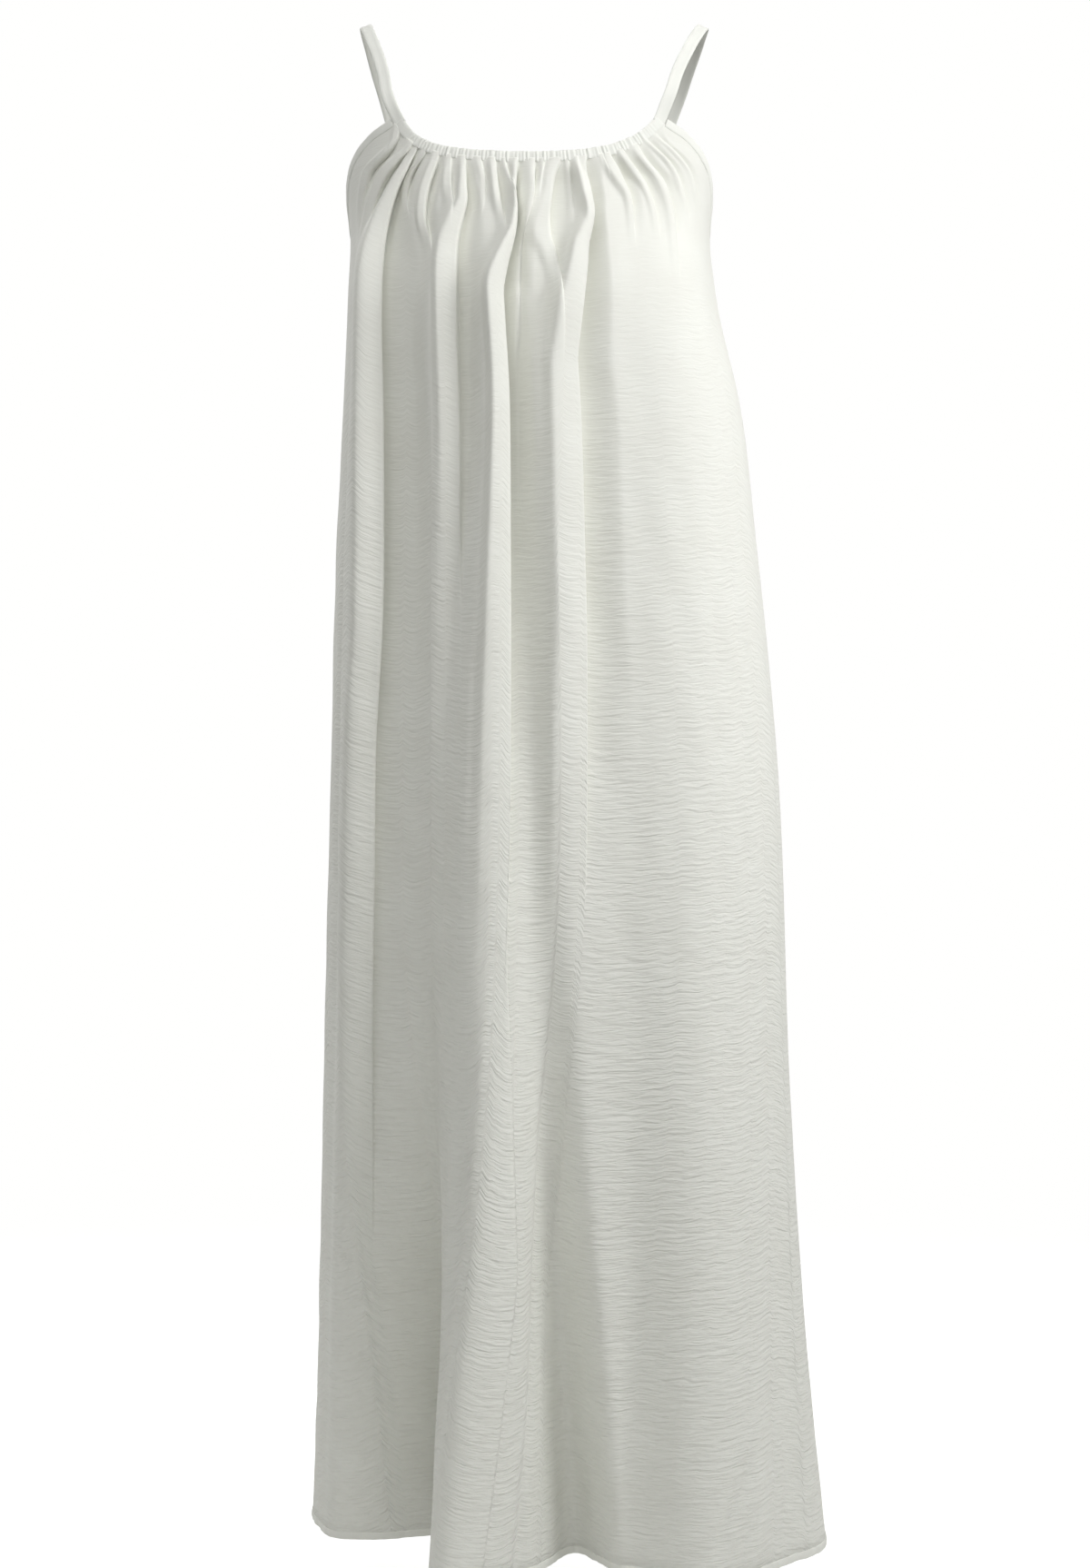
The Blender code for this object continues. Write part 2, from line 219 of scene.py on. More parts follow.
FRONT_CREASES = (
    Crease(
        (-122, -133, -142, -155, -168, -188, -230, -800),
        (-113, -126, -137, -142, -146, -149, -152, -176),
        (3, 5, 5, 4, 2, 0.5, 0, 0),
        (10, 12, 12, 12, 12, 14, 14, 14),
    ),
    Crease(
        (-131, -138, -150, -164, -182, -203, -235, -800),
        (-100, -111, -123, -130, -137, -142, -146, -165),
        (4, 6, 6, 5, 3, 1.5, 0, 0),
        (10, 12, 14, 14, 14, 14, 14, 14),
    ),
    Crease(
        (-133, -147, -164, -184, -207, -227, -243, -321, -556, -635, -790, -948, -1100),
        (-96, -105, -113, -119, -123, -125, -126, -126, -126, -131, -134, -136, -138),
        (4, 7, 8, 9, 9, 9, 9, 9, 9, 8, 6, 3, 0),
        (12, 12, 15, 20, 28, 34, 36, 42, 56, 56, 50, 40, 40),
        0.60,
        (0, 3, 7, 12, 15, 15, 12, 4, 0),
        (10, 14, 20, 30, 34, 36, 40, 40, 40),
        (-130, -150, -180, -240, -320, -560, -700, -900, -1060),
    ),
    Crease(
        (-137, -148, -164, -174, -190),
        (-88, -100, -106, -107, -104),
        (4, 5, 4, 2, 0),
        (8, 8, 8, 8, 8),
    ),
    Crease(
        (-141, -160, -180, -196, -213, -227),
        (-77, -85, -89, -89, -85, -83),
        (4, 6, 6, 5, 2, 0),
        (9, 10, 10, 10, 10, 10),
    ),
    Crease(
        (-144, -164, -184, -196, -260),
        (-67, -67, -65, -66, -73),
        (3, 3, 1.5, 0, 0),
        (10, 10, 10, 10, 10),
    ),
    Crease(
        (-145, -164, -180, -196, -213, -235, -266, -321, -400, -478, -600),
        (-54, -53, -52, -56, -60, -61, -61, -60, -58, -58, -57),
        (4, 8, 9, 8, 8, 9, 9, 8, 5, 2, 0),
        (7, 9, 12, 18, 23, 24, 24, 24, 26, 28, 28),
        0.45,
        (0, 3, 9, 13, 13, 8, 0),
        (14, 20, 30, 40, 44, 48, 48),
        (-140, -180, -220, -260, -400, -560, -760),
    ),
    Crease((-147, -157, -176, -200), (-41, -38, -38, -42), (3, 2, 1, 0), (6, 6, 6, 6)),
    Crease(
        (-147, -164, -180, -196, -210, -235, -260),
        (-28, -26, -24, -22, -22, -27, -32),
        (5, 7, 6, 3, 0, 0, 0),
        (7, 8, 8, 7, 7, 7, 7),
    ),
    Crease(
        (-148, -156, -172, -192, -205, -240, -260),
        (-20, -17, -14, -13, -14, -22, -26),
        (3, 3, 2, 1, 0, 0, 0),
        (4, 5, 5, 5, 5, 5, 5),
    ),
    Crease(
        (-147, -164, -180, -196, -211, -227, -239, -247, -266, -321, -531, -635, -790, -1100),
        (-8, -9.5, -9, -9.5, -11, -15, -20, -24, -25, -26, -24.5, -24, -20, -10),
        (6, 11, 14, 16, 19, 22, 24, 25, 25, 23, 16, 9, 4, 0),
        (6, 6, 6, 8, 10, 14, 17, 19, 19, 19, 28, 34, 40, 40),
        0.34,
        (0, 3, 6, 9, 11, 13, 10, 0),
        (8, 12, 18, 26, 36, 60, 64, 60),
        (-145, -180, -220, -260, -400, -640, -900, -1200),
    ),
    Crease(
        (-147, -156, -168, -184, -200, -219, -243, -274, -321, -400, -478),
        (6, 6, 6, 4, 0, -3, -4, -5, -5, -4, -4),
        (4, 5, 4, 3, 3, 3, 3.5, 3.5, 3, 2, 0),
        (6, 7, 8, 7, 7, 8, 8, 9, 10, 12, 12),
    ),
    Crease((-147, -160, -172, -200), (14, 11.5, 10, 8), (3, 2, 0.5, 0), (5, 5, 5, 5)),
    Crease(
        (-147, -156, -168, -184, -200, -213, -223, -243, -278, -321, -480),
        (29, 24, 22, 20, 19, 20, 23, 27, 29, 28, 24),
        (4, 7, 8, 9, 8, 6, 5, 4, 2, 0, 0),
        (10, 18, 22, 24, 24, 22, 18, 14, 10, 10, 10),
    ),
    Crease((-147, -164, -184, -210, -321), (35, 37, 38, 38, 33), (3, 2.5, 1, 0, 0), (5, 5, 5, 5, 5)),
    Crease((-147, -158, -168, -200, -321), (43, 45, 46, 47, 37), (3, 2, 0.5, 0, 0), (5, 5, 5, 5, 5)),
    Crease(
        (-142, -152, -163, -176, -192, -205, -218, -231)
        + (-243, -258, -278, -298, -321, -556, -635, -790),
        (51.5, 51, 53, 56, 58, 56, 53, 49.5, 46.5, 44, 41, 38.5, 37.5, 39, 41, 43),
        (4, 8, 10, 11, 12, 14, 16, 17, 18, 18, 18, 17, 16, 12, 7, 0),
        (10, 13, 12, 12, 10, 14, 18, 20, 22, 24, 26, 28, 30, 36, 40, 40),
        0.45,
        (0, 3, 6, 9, 9, 6, 0),
        (8, 14, 24, 44, 46, 48, 50),
        (-140, -180, -230, -300, -500, -700, -900),
    ),
    Crease((-136, -146, -155, -175), (63, 66, 69.5, 73), (3, 2, 0.5, 0), (5, 5, 5, 5)),
    Crease(
        (-135, -142, -151, -163, -172, -182, -196, -213),
        (69, 73, 79, 84.5, 89, 90.5, 91, 92),
        (4, 7, 8, 7, 6, 4, 2, 0),
        (6, 9, 14, 12, 9, 8, 8, 8),
    ),
    Crease(
        (-131, -141, -150, -160, -170, -180, -192, -208),
        (80, 87, 95, 102, 106, 109.5, 112, 113.5),
        (3, 6, 6, 5, 4, 3, 2, 0),
        (6, 10, 11, 9, 8, 8, 8, 8),
    ),
    Crease(
        (-130, -139, -147, -153, -163, -176, -192, -213, -243),
        (95, 102, 110, 116, 121, 125, 127.5, 129, 130),
        (3, 5, 6, 6, 6, 5, 4, 2, 0),
        (8, 10, 11, 12, 12, 10, 10, 10, 10),
    ),
    Crease(
        (-123, -130, -139, -149, -160, -176, -196),
        (102, 111, 124, 131, 135, 138.5, 140),
        (4, 5, 5, 4, 3, 2, 0),
        (8, 8, 8, 8, 8, 8, 8),
    ),
    Crease(
        (-119, -129, -142, -160, -180), (110, 128, 141, 147, 150), (2, 3, 3, 2, 0), (8, 8, 8, 8, 8)
    ),
)
BACK_CREASES = (
    Crease(
        (-131, -145, -165, -190, -220),
        (-112, -124, -133, -139, -143),
        (3, 5, 5, 3, 0),
        (10, 12, 13, 13, 13),
    ),
    Crease(
        (-140, -160, -185, -215, -260),
        (-98, -108, -115, -119, -121),
        (4, 7, 7, 5, 0),
        (9, 11, 14, 14, 14),
    ),
    Crease(
        (-148, -170, -200, -240, -320, -480, -640, -820),
        (-84, -91, -96, -98, -99, -100, -102, -104),
        (4, 8, 10, 12, 14, 13, 8, 0),
        (10, 12, 18, 26, 34, 40, 46, 46),
    ),
    Crease((-154, -172, -195, -225), (-68, -72, -74, -75), (4, 5, 3, 0), (8, 9, 9, 9)),
    Crease(
        (-158, -180, -210, -250, -300),
        (-52, -54, -54, -52, -51),
        (4, 7, 7, 4, 0),
        (8, 11, 15, 16, 16),
    ),
    Crease((-161, -176, -195), (-38, -38, -37), (3, 3, 0), (6, 6, 6)),
    Crease(
        (-162, -185, -215, -260, -340, -430),
        (-24, -25, -28, -31, -32, -32),
        (4, 8, 9, 9, 6, 0),
        (8, 10, 16, 20, 22, 22),
    ),
    Crease((-163, -180, -200), (-10, -9, -8), (3, 3, 0), (6, 6, 6)),
    Crease(
        (-163, -185, -215, -260, -340, -520, -680, -860),
        (2, 4, 9, 14, 17, 18, 18, 18),
        (5, 9, 11, 13, 14, 12, 7, 0),
        (8, 9, 12, 18, 26, 36, 40, 40),
        0.40,
    ),
    Crease((-162, -180, -205), (18, 19, 22), (4, 4, 0), (7, 7, 7)),
    Crease((-160, -178, -200, -235), (32, 35, 38, 41), (4, 6, 5, 0), (8, 10, 11, 11)),
    Crease((-158, -172, -190), (46, 48, 50), (3, 3, 0), (6, 6, 6)),
    Crease(
        (-155, -175, -205, -250, -330, -480, -640),
        (58, 63, 68, 71, 73, 76, 79),
        (4, 8, 10, 11, 11, 8, 0),
        (9, 12, 18, 24, 30, 36, 36),
    ),
    Crease((-150, -168, -190, -215), (72, 78, 83, 86), (4, 6, 4, 0), (8, 10, 10, 10)),
    Crease(
        (-143, -162, -185, -215, -250), (86, 96, 103, 107, 109), (4, 7, 6, 4, 0), (9, 12, 13, 13, 13)
    ),
    Crease((-134, -152, -175, -205), (100, 114, 122, 126), (4, 6, 4, 0), (9, 11, 11, 11)),
    Crease((-128, -146, -170, -195), (110, 128, 137, 141), (3, 4, 3, 0), (9, 9, 9, 9)),
)
FRONT_DENTS = (
    Dent((0.200, -1.244), (0.152, -1.352), 0.0034, 0.0040),
    Dent((0.206, -1.262), (0.166, -1.350), -0.0022, 0.0050),
    Dent((-0.174, -1.072), (-0.152, -1.134), 0.0030, 0.0035),
    Dent((-0.132, -1.172), (-0.160, -1.197), 0.0028, 0.0035),
)
BACK_DENTS = (
    Dent((-0.180, -1.230), (-0.130, -1.330), 0.0020, 0.0045),
    Dent((0.160, -1.120), (0.176, -1.165), 0.0016, 0.0040),
)
FRONT_FLAT, FRONT_AREA = (0.93, 1.25), 0.93
BACK_FLAT, BACK_AREA = (0.86, 1.22), 0.84
FRONT_TOP = TopEdge(-0.1450, 0.0150, 0.0240, 6.0, 4.0, 0.570)
BACK_TOP = TopEdge(-0.1640, 0.0140, 0.0240, 6.0, 6.0, 0.530)
ARMHOLE_WAY = (0.00, 0.30, 0.55, 0.75, 0.90, 1.00, 1.10)
ARMHOLE_DROP = (0.00, 0.16, 0.40, 0.70, 0.95, 1.00, 0.95)
STRAP_ROUTE = (
    StrapAt(0.1240, 0.1230, -0.0705, -0.0800),
    StrapAt(0.1292, 0.1308, -0.0560, -0.0550),
    StrapAt(0.1390, 0.1445, -0.0310, -0.0235),
    StrapAt(0.1480, 0.1565, 0.0000, -0.0010),
    StrapAt(0.1460, 0.1530, 0.0350, -0.0100),
    StrapAt(0.1370, 0.1410, 0.0680, -0.0420),
    StrapAt(0.1220, 0.1230, 0.0850, -0.0900),
)


# ---------------------------------------------------------------- curves and arrays


def smooth_through(at: np.ndarray, places: tuple, values: tuple) -> np.ndarray:
    """Values on a smooth curve through the given ones: a cubic between neighbours.

    Args:
        at: Where the curve is wanted.
        places: The known places, rising or falling.
        values: The known values there.

    Returns:
        The curve's values, in the shape of at.
    """
    order = np.argsort(places)
    known = np.asarray(places, dtype=float)[order]
    levels = np.asarray(values, dtype=float)[order]
    slopes = np.gradient(levels, known)
    clipped = np.clip(at, known[0], known[-1])
    span = np.clip(np.searchsorted(known, clipped) - 1, 0, len(known) - 2)
    width = known[span + 1] - known[span]
    t = (clipped - known[span]) / width
    rising = t * t * (3.0 - 2.0 * t)
    bend = slopes[span] * t * (1.0 - t) ** 2 + slopes[span + 1] * t * t * (t - 1.0)
    return levels[span] * (1.0 - rising) + levels[span + 1] * rising + width * bend


def smooth_step(t: np.ndarray) -> np.ndarray:
    """0 up to t = 0, 1 from t = 1 on, and a smooth rise between them."""
    t = np.clip(t, 0.0, 1.0)
    return t * t * (3.0 - 2.0 * t)


def unit(vectors: np.ndarray) -> np.ndarray:
    """The vectors at length 1."""
    return vectors / np.maximum(np.linalg.norm(vectors, axis=-1, keepdims=True), TINY)


def run_along(points: np.ndarray) -> np.ndarray:
    """The distance along rows of points (row, column, axis) from each row's first point."""
    steps = np.linalg.norm(np.diff(points, axis=-2), axis=-1)
    start = np.zeros(steps.shape[:-1] + (1,))
    return np.concatenate((start, np.cumsum(steps, axis=-1)), axis=-1)


def even_rows(points: np.ndarray, count: int) -> np.ndarray:
    """The same rows of points, spaced evenly along their length.

    Args:
        points: Rows of points (row, column, axis).
        count: How many points each row gets.

    Returns:
        Rows of count points.
    """
    ways = run_along(points)
    share = np.linspace(0.0, 1.0, count)
    rows = [
        [np.interp(share * way[-1], way, row[:, axis]) for axis in range(points.shape[-1])]
        for way, row in zip(ways, points)
    ]
    return np.moveaxis(np.asarray(rows), 1, 2)


def soft_noise(at: np.ndarray, pitch: float, which: Unevenness) -> np.ndarray:
    """Smooth uneven values from -1 to 1: five sines whose wave lengths lie round the pitch.

    Args:
        at: Places along a line, in metres.
        pitch: The middle wave length, in metres.
        which: Which noise it is.

    Returns:
        The values, in the shape of at.
    """
    chance = np.random.default_rng(SEED + which.value)
    total = np.zeros_like(at)
    for _ in range(NOISE_WAVES):
        wave = pitch * chance.uniform(*NOISE_SPREAD)
        total = total + np.sin(2.0 * math.pi * (at / wave + chance.uniform()))
    return total / NOISE_PEAK


# ---------------------------------------------------------------- the body's form


@dataclass(frozen=True)
class Ring:
    """Half of the ring that the cloth makes at every height, with its soft folds."""

    side: Side
    folds: tuple[Fold, ...]
    samples: int = 1201
    heights: int = 241

    def levels(self) -> np.ndarray:
        """The heights of the table's rows, from the hem up, as a column."""
        return np.linspace(HEM_Z, SECTIONS[0].z, self.heights)[:, None]

    def size(self, name: str, z: np.ndarray) -> np.ndarray:
        """One of the outline's sizes at the heights z."""
        return smooth_through(z, [s.z for s in SECTIONS], [getattr(s, name) for s in SECTIONS])

    def plain(self, z: np.ndarray) -> np.ndarray:
        """The outline with no folds: x = side * sin^p and y = depth * cos^p, p = 2 / squareness.

        Args:
            z: Heights, one a row.

        Returns:
            Points (row, column, x and y), spaced evenly from the right seam to the left one.
        """
        angle = np.linspace(-0.5 * math.pi, 0.5 * math.pi, self.samples)[None, :]
        power = 2.0 / self.size("squareness", z)
        right = self.size("right", z)
        half = np.where(angle < 0.0, right, self.size("left", z))
        depth = self.size(self.side.value, z)
        x = half * np.sign(angle) * np.abs(np.sin(angle)) ** power
        y = self.side.facing * depth * np.abs(np.cos(angle)) ** power
        y = y + self.size("swing", z) * np.clip(-x / right, 0.0, 1.0) ** 2
        return even_rows(np.stack((x, y), axis=-1), self.samples)

    def fold_push(self, along: np.ndarray, z: np.ndarray) -> np.ndarray:
        """How far the soft folds push outwards: each is half a cosine wave wide to either side.

        Args:
            along: Distances round the ring from its centre.
            z: Heights, one a row.

        Returns:
            The push at each point.
        """
        push = np.zeros_like(along)
        ends = (FOLD_LEVELS[-1], FOLD_LEVELS[0])
        for fold in self.folds:
            offset = along - smooth_through(z, FOLD_LEVELS, fold.at)
            right = smooth_through(z, ends, fold.right[::-1])
            left = smooth_through(z, ends, fold.left[::-1])
            reach = np.clip(np.abs(offset) / np.where(offset < 0.0, right, left), 0.0, 1.0)
            depth = smooth_through(z, FOLD_LEVELS, fold.depth)
            push += depth * 0.5 * (1.0 + np.cos(math.pi * reach))
        return push * smooth_step((FOLD_START_Z - z) / FOLD_FADE)

    def table(self) -> np.ndarray:
        """The folded half ring at every height, spaced evenly along the cloth."""
        z = self.levels()
        plain = self.plain(z)
        along = run_along(plain)
        middle = np.array([np.interp(0.0, row[:, 0], way) for row, way in zip(plain, along)])
        offset = along - middle[:, None]
        ahead = unit(np.gradient(plain, axis=1))
        outwards = self.side.facing * np.stack((-ahead[..., 1], ahead[..., 0]), axis=-1)
        calm = smooth_step(np.minimum(along, along[:, -1:] - along) / SEAM_CALM)
        push = self.fold_push(offset, z) * calm
        return even_rows(plain + push[..., None] * outwards, self.samples)


@dataclass
class Form:
    """A half ring's table, ready to be read at any share of the way round and any height."""

    ring: Ring
    probe: float = 0.002
    rows: np.ndarray = field(init=False)
    lengths: np.ndarray = field(init=False)

    def __post_init__(self) -> None:
        """Works out the table and each row's length once."""
        self.rows = self.ring.table()
        self.lengths = run_along(self.rows)[:, -1]

    def half_length(self, z: np.ndarray) -> np.ndarray:
        """Half the length of the cloth round this side at the heights z."""
        return 0.5 * np.interp(z, self.ring.levels()[:, 0], self.lengths)

    def share_at(self, x: np.ndarray, z: np.ndarray) -> np.ndarray:
        """The shares of the way round at which the cloth reaches each X at each height z."""
        levels = self.ring.levels()[:, 0]
        share = np.linspace(-1.0, 1.0, self.rows.shape[1])
        nearest = np.clip(np.searchsorted(levels, z), 0, len(levels) - 1)
        return np.array([np.interp(a, self.rows[row, :, 0], share) for a, row in zip(x, nearest)])

    def at(self, share: np.ndarray, z: np.ndarray) -> np.ndarray:
        """Points on the cloth, read between the table's rows and columns.

        Args:
            share: -1 at the right seam to 1 at the left one.
            z: Heights.

        Returns:
            Points in the shape of share, with X, Y and Z last.
        """
        heights, samples = self.rows.shape[:2]
        column = np.clip(0.5 * (share + 1.0), 0.0, 1.0) * (samples - 1)
        row = np.clip((z - HEM_Z) / (SECTIONS[0].z - HEM_Z), 0.0, 1.0) * (heights - 1)
        first = np.minimum(column.astype(int), samples - 2)
        below = np.minimum(row.astype(int), heights - 2)
        across = (column - first)[..., None]
        up = (row - below)[..., None]
        low, high = (
            self.rows[level, first] * (1.0 - across) + self.rows[level, first + 1] * across
            for level in (below, below + 1)
        )
        return np.concatenate((low * (1.0 - up) + high * up, z[..., None]), axis=-1)

    def edge(self, top: TopEdge, s: np.ndarray) -> tuple[np.ndarray, np.ndarray, np.ndarray]:
        """The panel's top edge, with the outward normal and the way up off the cloth.

        Args:
            top: The edge's shape.
            s: Shares of the panel's width, -1 to 1.

        Returns:
            Points, normals and upward directions.
        """
        share = top_share(top, s)
        z = top_height(top, s)
        points = self.at(share, z)
        rise = self.at(share, z + self.probe) - self.at(share, z - self.probe)
        around = self.at(share + self.probe, z) - self.at(share - self.probe, z)
        normal = unit(np.cross(around, rise))
        normal *= np.sign(np.sum(normal[:, :2] * points[:, :2], axis=1, keepdims=True))
        up = unit(np.cross(normal, np.gradient(points, axis=0)))
        return points, normal, up * np.sign(up[:, 2:3])


def top_share(top: TopEdge, s: np.ndarray) -> np.ndarray:
    """Where the top edge lies round the ring, for the share s of the panel's own width."""
    way = np.clip((np.abs(s) - NECK_SHARE) / (1.0 - NECK_SHARE), 0.0, 1.0)
    neck = np.minimum(np.abs(s) / NECK_SHARE, 1.0) * top.end_share
    return np.sign(s) * (neck + (1.0 - top.end_share) * way)


def top_height(top: TopEdge, s: np.ndarray) -> np.ndarray:
    """The height of the top edge: a shallow bowl under the neck binding, then the armhole."""
    neck = np.minimum(np.abs(s) / NECK_SHARE, 1.0)
    power = np.where(s < 0.0, top.right_power, top.left_power)
    bowl = top.centre_z + top.gentle_rise * neck**2 + top.quick_rise * neck**power
    way = (np.abs(s) - NECK_SHARE) / (1.0 - NECK_SHARE)
    drop = smooth_through(np.maximum(way, 0.0), ARMHOLE_WAY, ARMHOLE_DROP)
    return bowl + (UNDERARM_Z - bowl) * drop


# ---------------------------------------------------------------- meshes


def grid_object(
    name: str, points: np.ndarray, uv: np.ndarray, flip: bool = False, tube: bool = False
) -> bpy.types.Object:
    """An object whose mesh is a grid of quads with a UV map in metres of cloth.

    Args:
        name: The object's name.
        points: The grid (row, column, axis).
        uv: Where each point lies on the flat cloth (row, column, 2).
        flip: Turns the faces round.
        tube: Joins the last column to the first one and closes both ends.

    Returns:
        The linked object.
    """
    rows, columns = points.shape[:2]
    index = np.arange(rows * columns).reshape(rows, columns)
    if tube:
        index = np.concatenate((index, index[:, :1]), axis=1)
        uv = np.concatenate((uv, uv[:, -1:] * 2.0 - uv[:, -2:-1]), axis=1)
    corners = ((0, 0), (1, 0), (1, 1), (0, 1)) if flip else ((0, 0), (0, 1), (1, 1), (1, 0))
    height, width = index.shape[0] - 1, index.shape[1] - 1
    faces = np.stack([index[r : r + height, c : c + width] for r, c in corners], axis=-1)
    places = np.stack([uv[r : r + height, c : c + width] for r, c in corners], axis=-2)
    quads = faces.reshape(-1, 4).tolist()
    flat = places.reshape(-1, 2)
    if tube:
        ends = [index[0, :-1], index[-1, :-1][::-1]]
        quads += [(end if flip else end[::-1]).tolist() for end in ends]
        flat = np.concatenate((flat, np.zeros((2 * columns, 2))))
    mesh = bpy.data.meshes.new(name)
    mesh.from_pydata(points.reshape(-1, 3).tolist(), [], quads)
    mesh.uv_layers.new(name=CLOTH_UV).uv.foreach_set("vector", flat.astype(np.float32).ravel())
    mesh.polygons.foreach_set("use_smooth", np.ones(len(mesh.polygons), dtype=bool))
    mesh.update()
    piece = bpy.data.objects.new(name, mesh)
    bpy.context.scene.collection.objects.link(piece)
    return piece


def cloth_uv(points: np.ndarray) -> np.ndarray:
    """Cloth coordinates of a grid: the level run from the middle column, and the way down."""
    across = run_along(points[..., :2])
    across = across - across[:, across.shape[1] // 2, None]
    cut_away = points[0, :, 2].max() - points[0, :, 2]
    down = run_along(np.swapaxes(points, 0, 1)).T + cut_away
    return np.stack((across, -down), axis=-1)


def rounded_profile(width: float, thickness: float, count: int, dent: float = 0.0) -> np.ndarray:
    """A flat strip's outline: a squared ellipse whose middle may be dented on both faces.

    Args:
        width: Across the strip.
        thickness: Through the strip.
        count: Points round the outline.
        dent: How much thinner the middle is, as a share of the thickness.

    Returns:
        Points (across, outwards) round the outline.
    """
    angle = np.linspace(0.0, 2.0 * math.pi, count, endpoint=False)
    across = 0.5 * width * np.sign(np.cos(angle)) * np.abs(np.cos(angle)) ** EDGE_POWER
    out = 0.5 * thickness * np.sign(np.sin(angle)) * np.abs(np.sin(angle)) ** FACE_POWER
    hollow = 1.0 - dent * np.exp(-((across / (DENT_REACH * width)) ** 2))
    return np.stack((across, out * hollow), axis=-1)


@dataclass
class Line:
    """A strip's middle line: points, the way across the strip and the way out of its face."""

    middle: np.ndarray
    across: np.ndarray
    out: np.ndarray

    def length(self) -> float:
        """The line's length."""
        return float(run_along(self.middle)[-1])

    def tube(
        self, name: str, profile: np.ndarray, lift: np.ndarray, shift: np.ndarray, flip: bool
    ) -> bpy.types.Object:
        """A closed strip: the profile carried along the line, with cloth coordinates on it.

        Args:
            name: The object's name.
            profile: Points (across, outwards).
            lift: How far each step's outline moves outwards.
            shift: How far each step's outline moves across.
            flip: Turns the faces round.

        Returns:
            The linked object.
        """
        across = self.across[:, None, :] * (profile[None, :, :1] + shift[:, None, None])
        out = self.out[:, None, :] * (profile[None, :, 1:] + lift[:, None, None])
        along = run_along(self.middle)[:, None]
        around = run_along(profile[None])
        uv = np.stack(np.broadcast_arrays(along, around), axis=-1)
        return grid_object(name, self.middle[:, None, :] + across + out, uv, flip=flip, tube=True)


# ---------------------------------------------------------------- finishes


def linear(code: str) -> tuple[float, float, float, float]:
    """An sRGB hex colour such as E8E9E2 as linear red, green, blue and alpha 1."""
    parts = [int(code[i : i + 2], 16) / 255.0 for i in (0, 2, 4)]
    red, green, blue = [
        p / 12.92 if p <= 0.04045 else ((p + 0.055) / 1.055) ** 2.4 for p in parts
    ]
    return red, green, blue, 1.0


def add_node(
    tree: bpy.types.NodeTree, kind: str, settings: dict | None = None, links: dict | None = None
) -> bpy.types.Node:
    """Adds a node with its settings and links.

    Args:
        tree: The material's or world's nodes.
        kind: The node's type.
        settings: Values by attribute name, or by input name or number.
        links: Output sockets by input name or number.

    Returns:
        The new node.
    """
    node = tree.nodes.new(kind)
    for name, value in (settings or {}).items():
        if isinstance(name, str) and hasattr(node, name):
            setattr(node, name, value)
        else:
            node.inputs[name].default_value = value
    for name, socket in (links or {}).items():
        tree.links.new(socket, node.inputs[name])
    return node


def new_nodes(owner: bpy.types.Material | bpy.types.World) -> bpy.types.NodeTree:
    """A material's or world's node tree, turned on and emptied."""
    owner.use_nodes = True
    owner.node_tree.nodes.clear()
    return owner.node_tree


@dataclass(frozen=True)
class ClothFinish:
    """What both cuts of the cloth share: matt viscose with a faint bloom and uneven tone."""

    name: str
    light: str
    shade: str
    roughness: float
    specular: float
    bloom_roughness: float
    tone_scale: float
    tone_detail: float
    bloom: float = 0.12

    def material(self) -> bpy.types.Material:
        """Makes the material: tone from broad noise, height from the finish's own relief."""
        made = bpy.data.materials.new(self.name)
        tree = new_nodes(made)
        uv = add_node(tree, "ShaderNodeUVMap", {"uv_map": CLOTH_UV}).outputs[0]
        spots = {"Scale": self.tone_scale, "Detail": self.tone_detail}
        tone = add_node(tree, "ShaderNodeTexNoise", spots, {"Vector": uv})
        tints = {"data_type": "RGBA", 6: linear(self.light), 7: linear(self.shade)}
        colour = add_node(tree, "ShaderNodeMix", tints, {0: tone.outputs[0]})
        gloss = {
            "Roughness": self.roughness,
            "Specular IOR Level": self.specular,
            "Sheen Weight": self.bloom,
            "Sheen Roughness": self.bloom_roughness,
        }
        dressed = {"Base Color": colour.outputs[2], "Normal": self.relief(tree, uv)}
        shader = add_node(tree, "ShaderNodeBsdfPrincipled", gloss, dressed)
        add_node(tree, "ShaderNodeOutputMaterial", None, {0: shader.outputs[0]})
        return made

    def relief(self, tree: bpy.types.NodeTree, uv: bpy.types.NodeSocket) -> bpy.types.NodeSocket:
        """Adds the nodes of the cloth's relief.

        Args:
            tree: The material's nodes.
            uv: The cloth coordinates.

        Returns:
            The socket of the bent normal.
        """
        raise NotImplementedError

    def creased(
        self, tree: bpy.types.NodeTree, uv: bpy.types.NodeSocket, size: tuple, noise: dict
    ) -> bpy.types.NodeSocket:
        """Adds noise drawn out into creases.

        Args:
            tree: The material's nodes.
            uv: The cloth coordinates.
            size: A crease's length and pitch.
            noise: The noise's settings.

        Returns:
            The noise's socket.
        """
        stretch = {"Scale": (1.0 / size[0], 1.0 / size[1], 1.0)}
        at = add_node(tree, "ShaderNodeMapping", stretch, {"Vector": uv})
        drawn = {"Scale": 1.0, "Detail": 3.0, **noise}
        return add_node(tree, "ShaderNodeTexNoise", drawn, {"Vector": at.outputs[0]}).outputs[0]


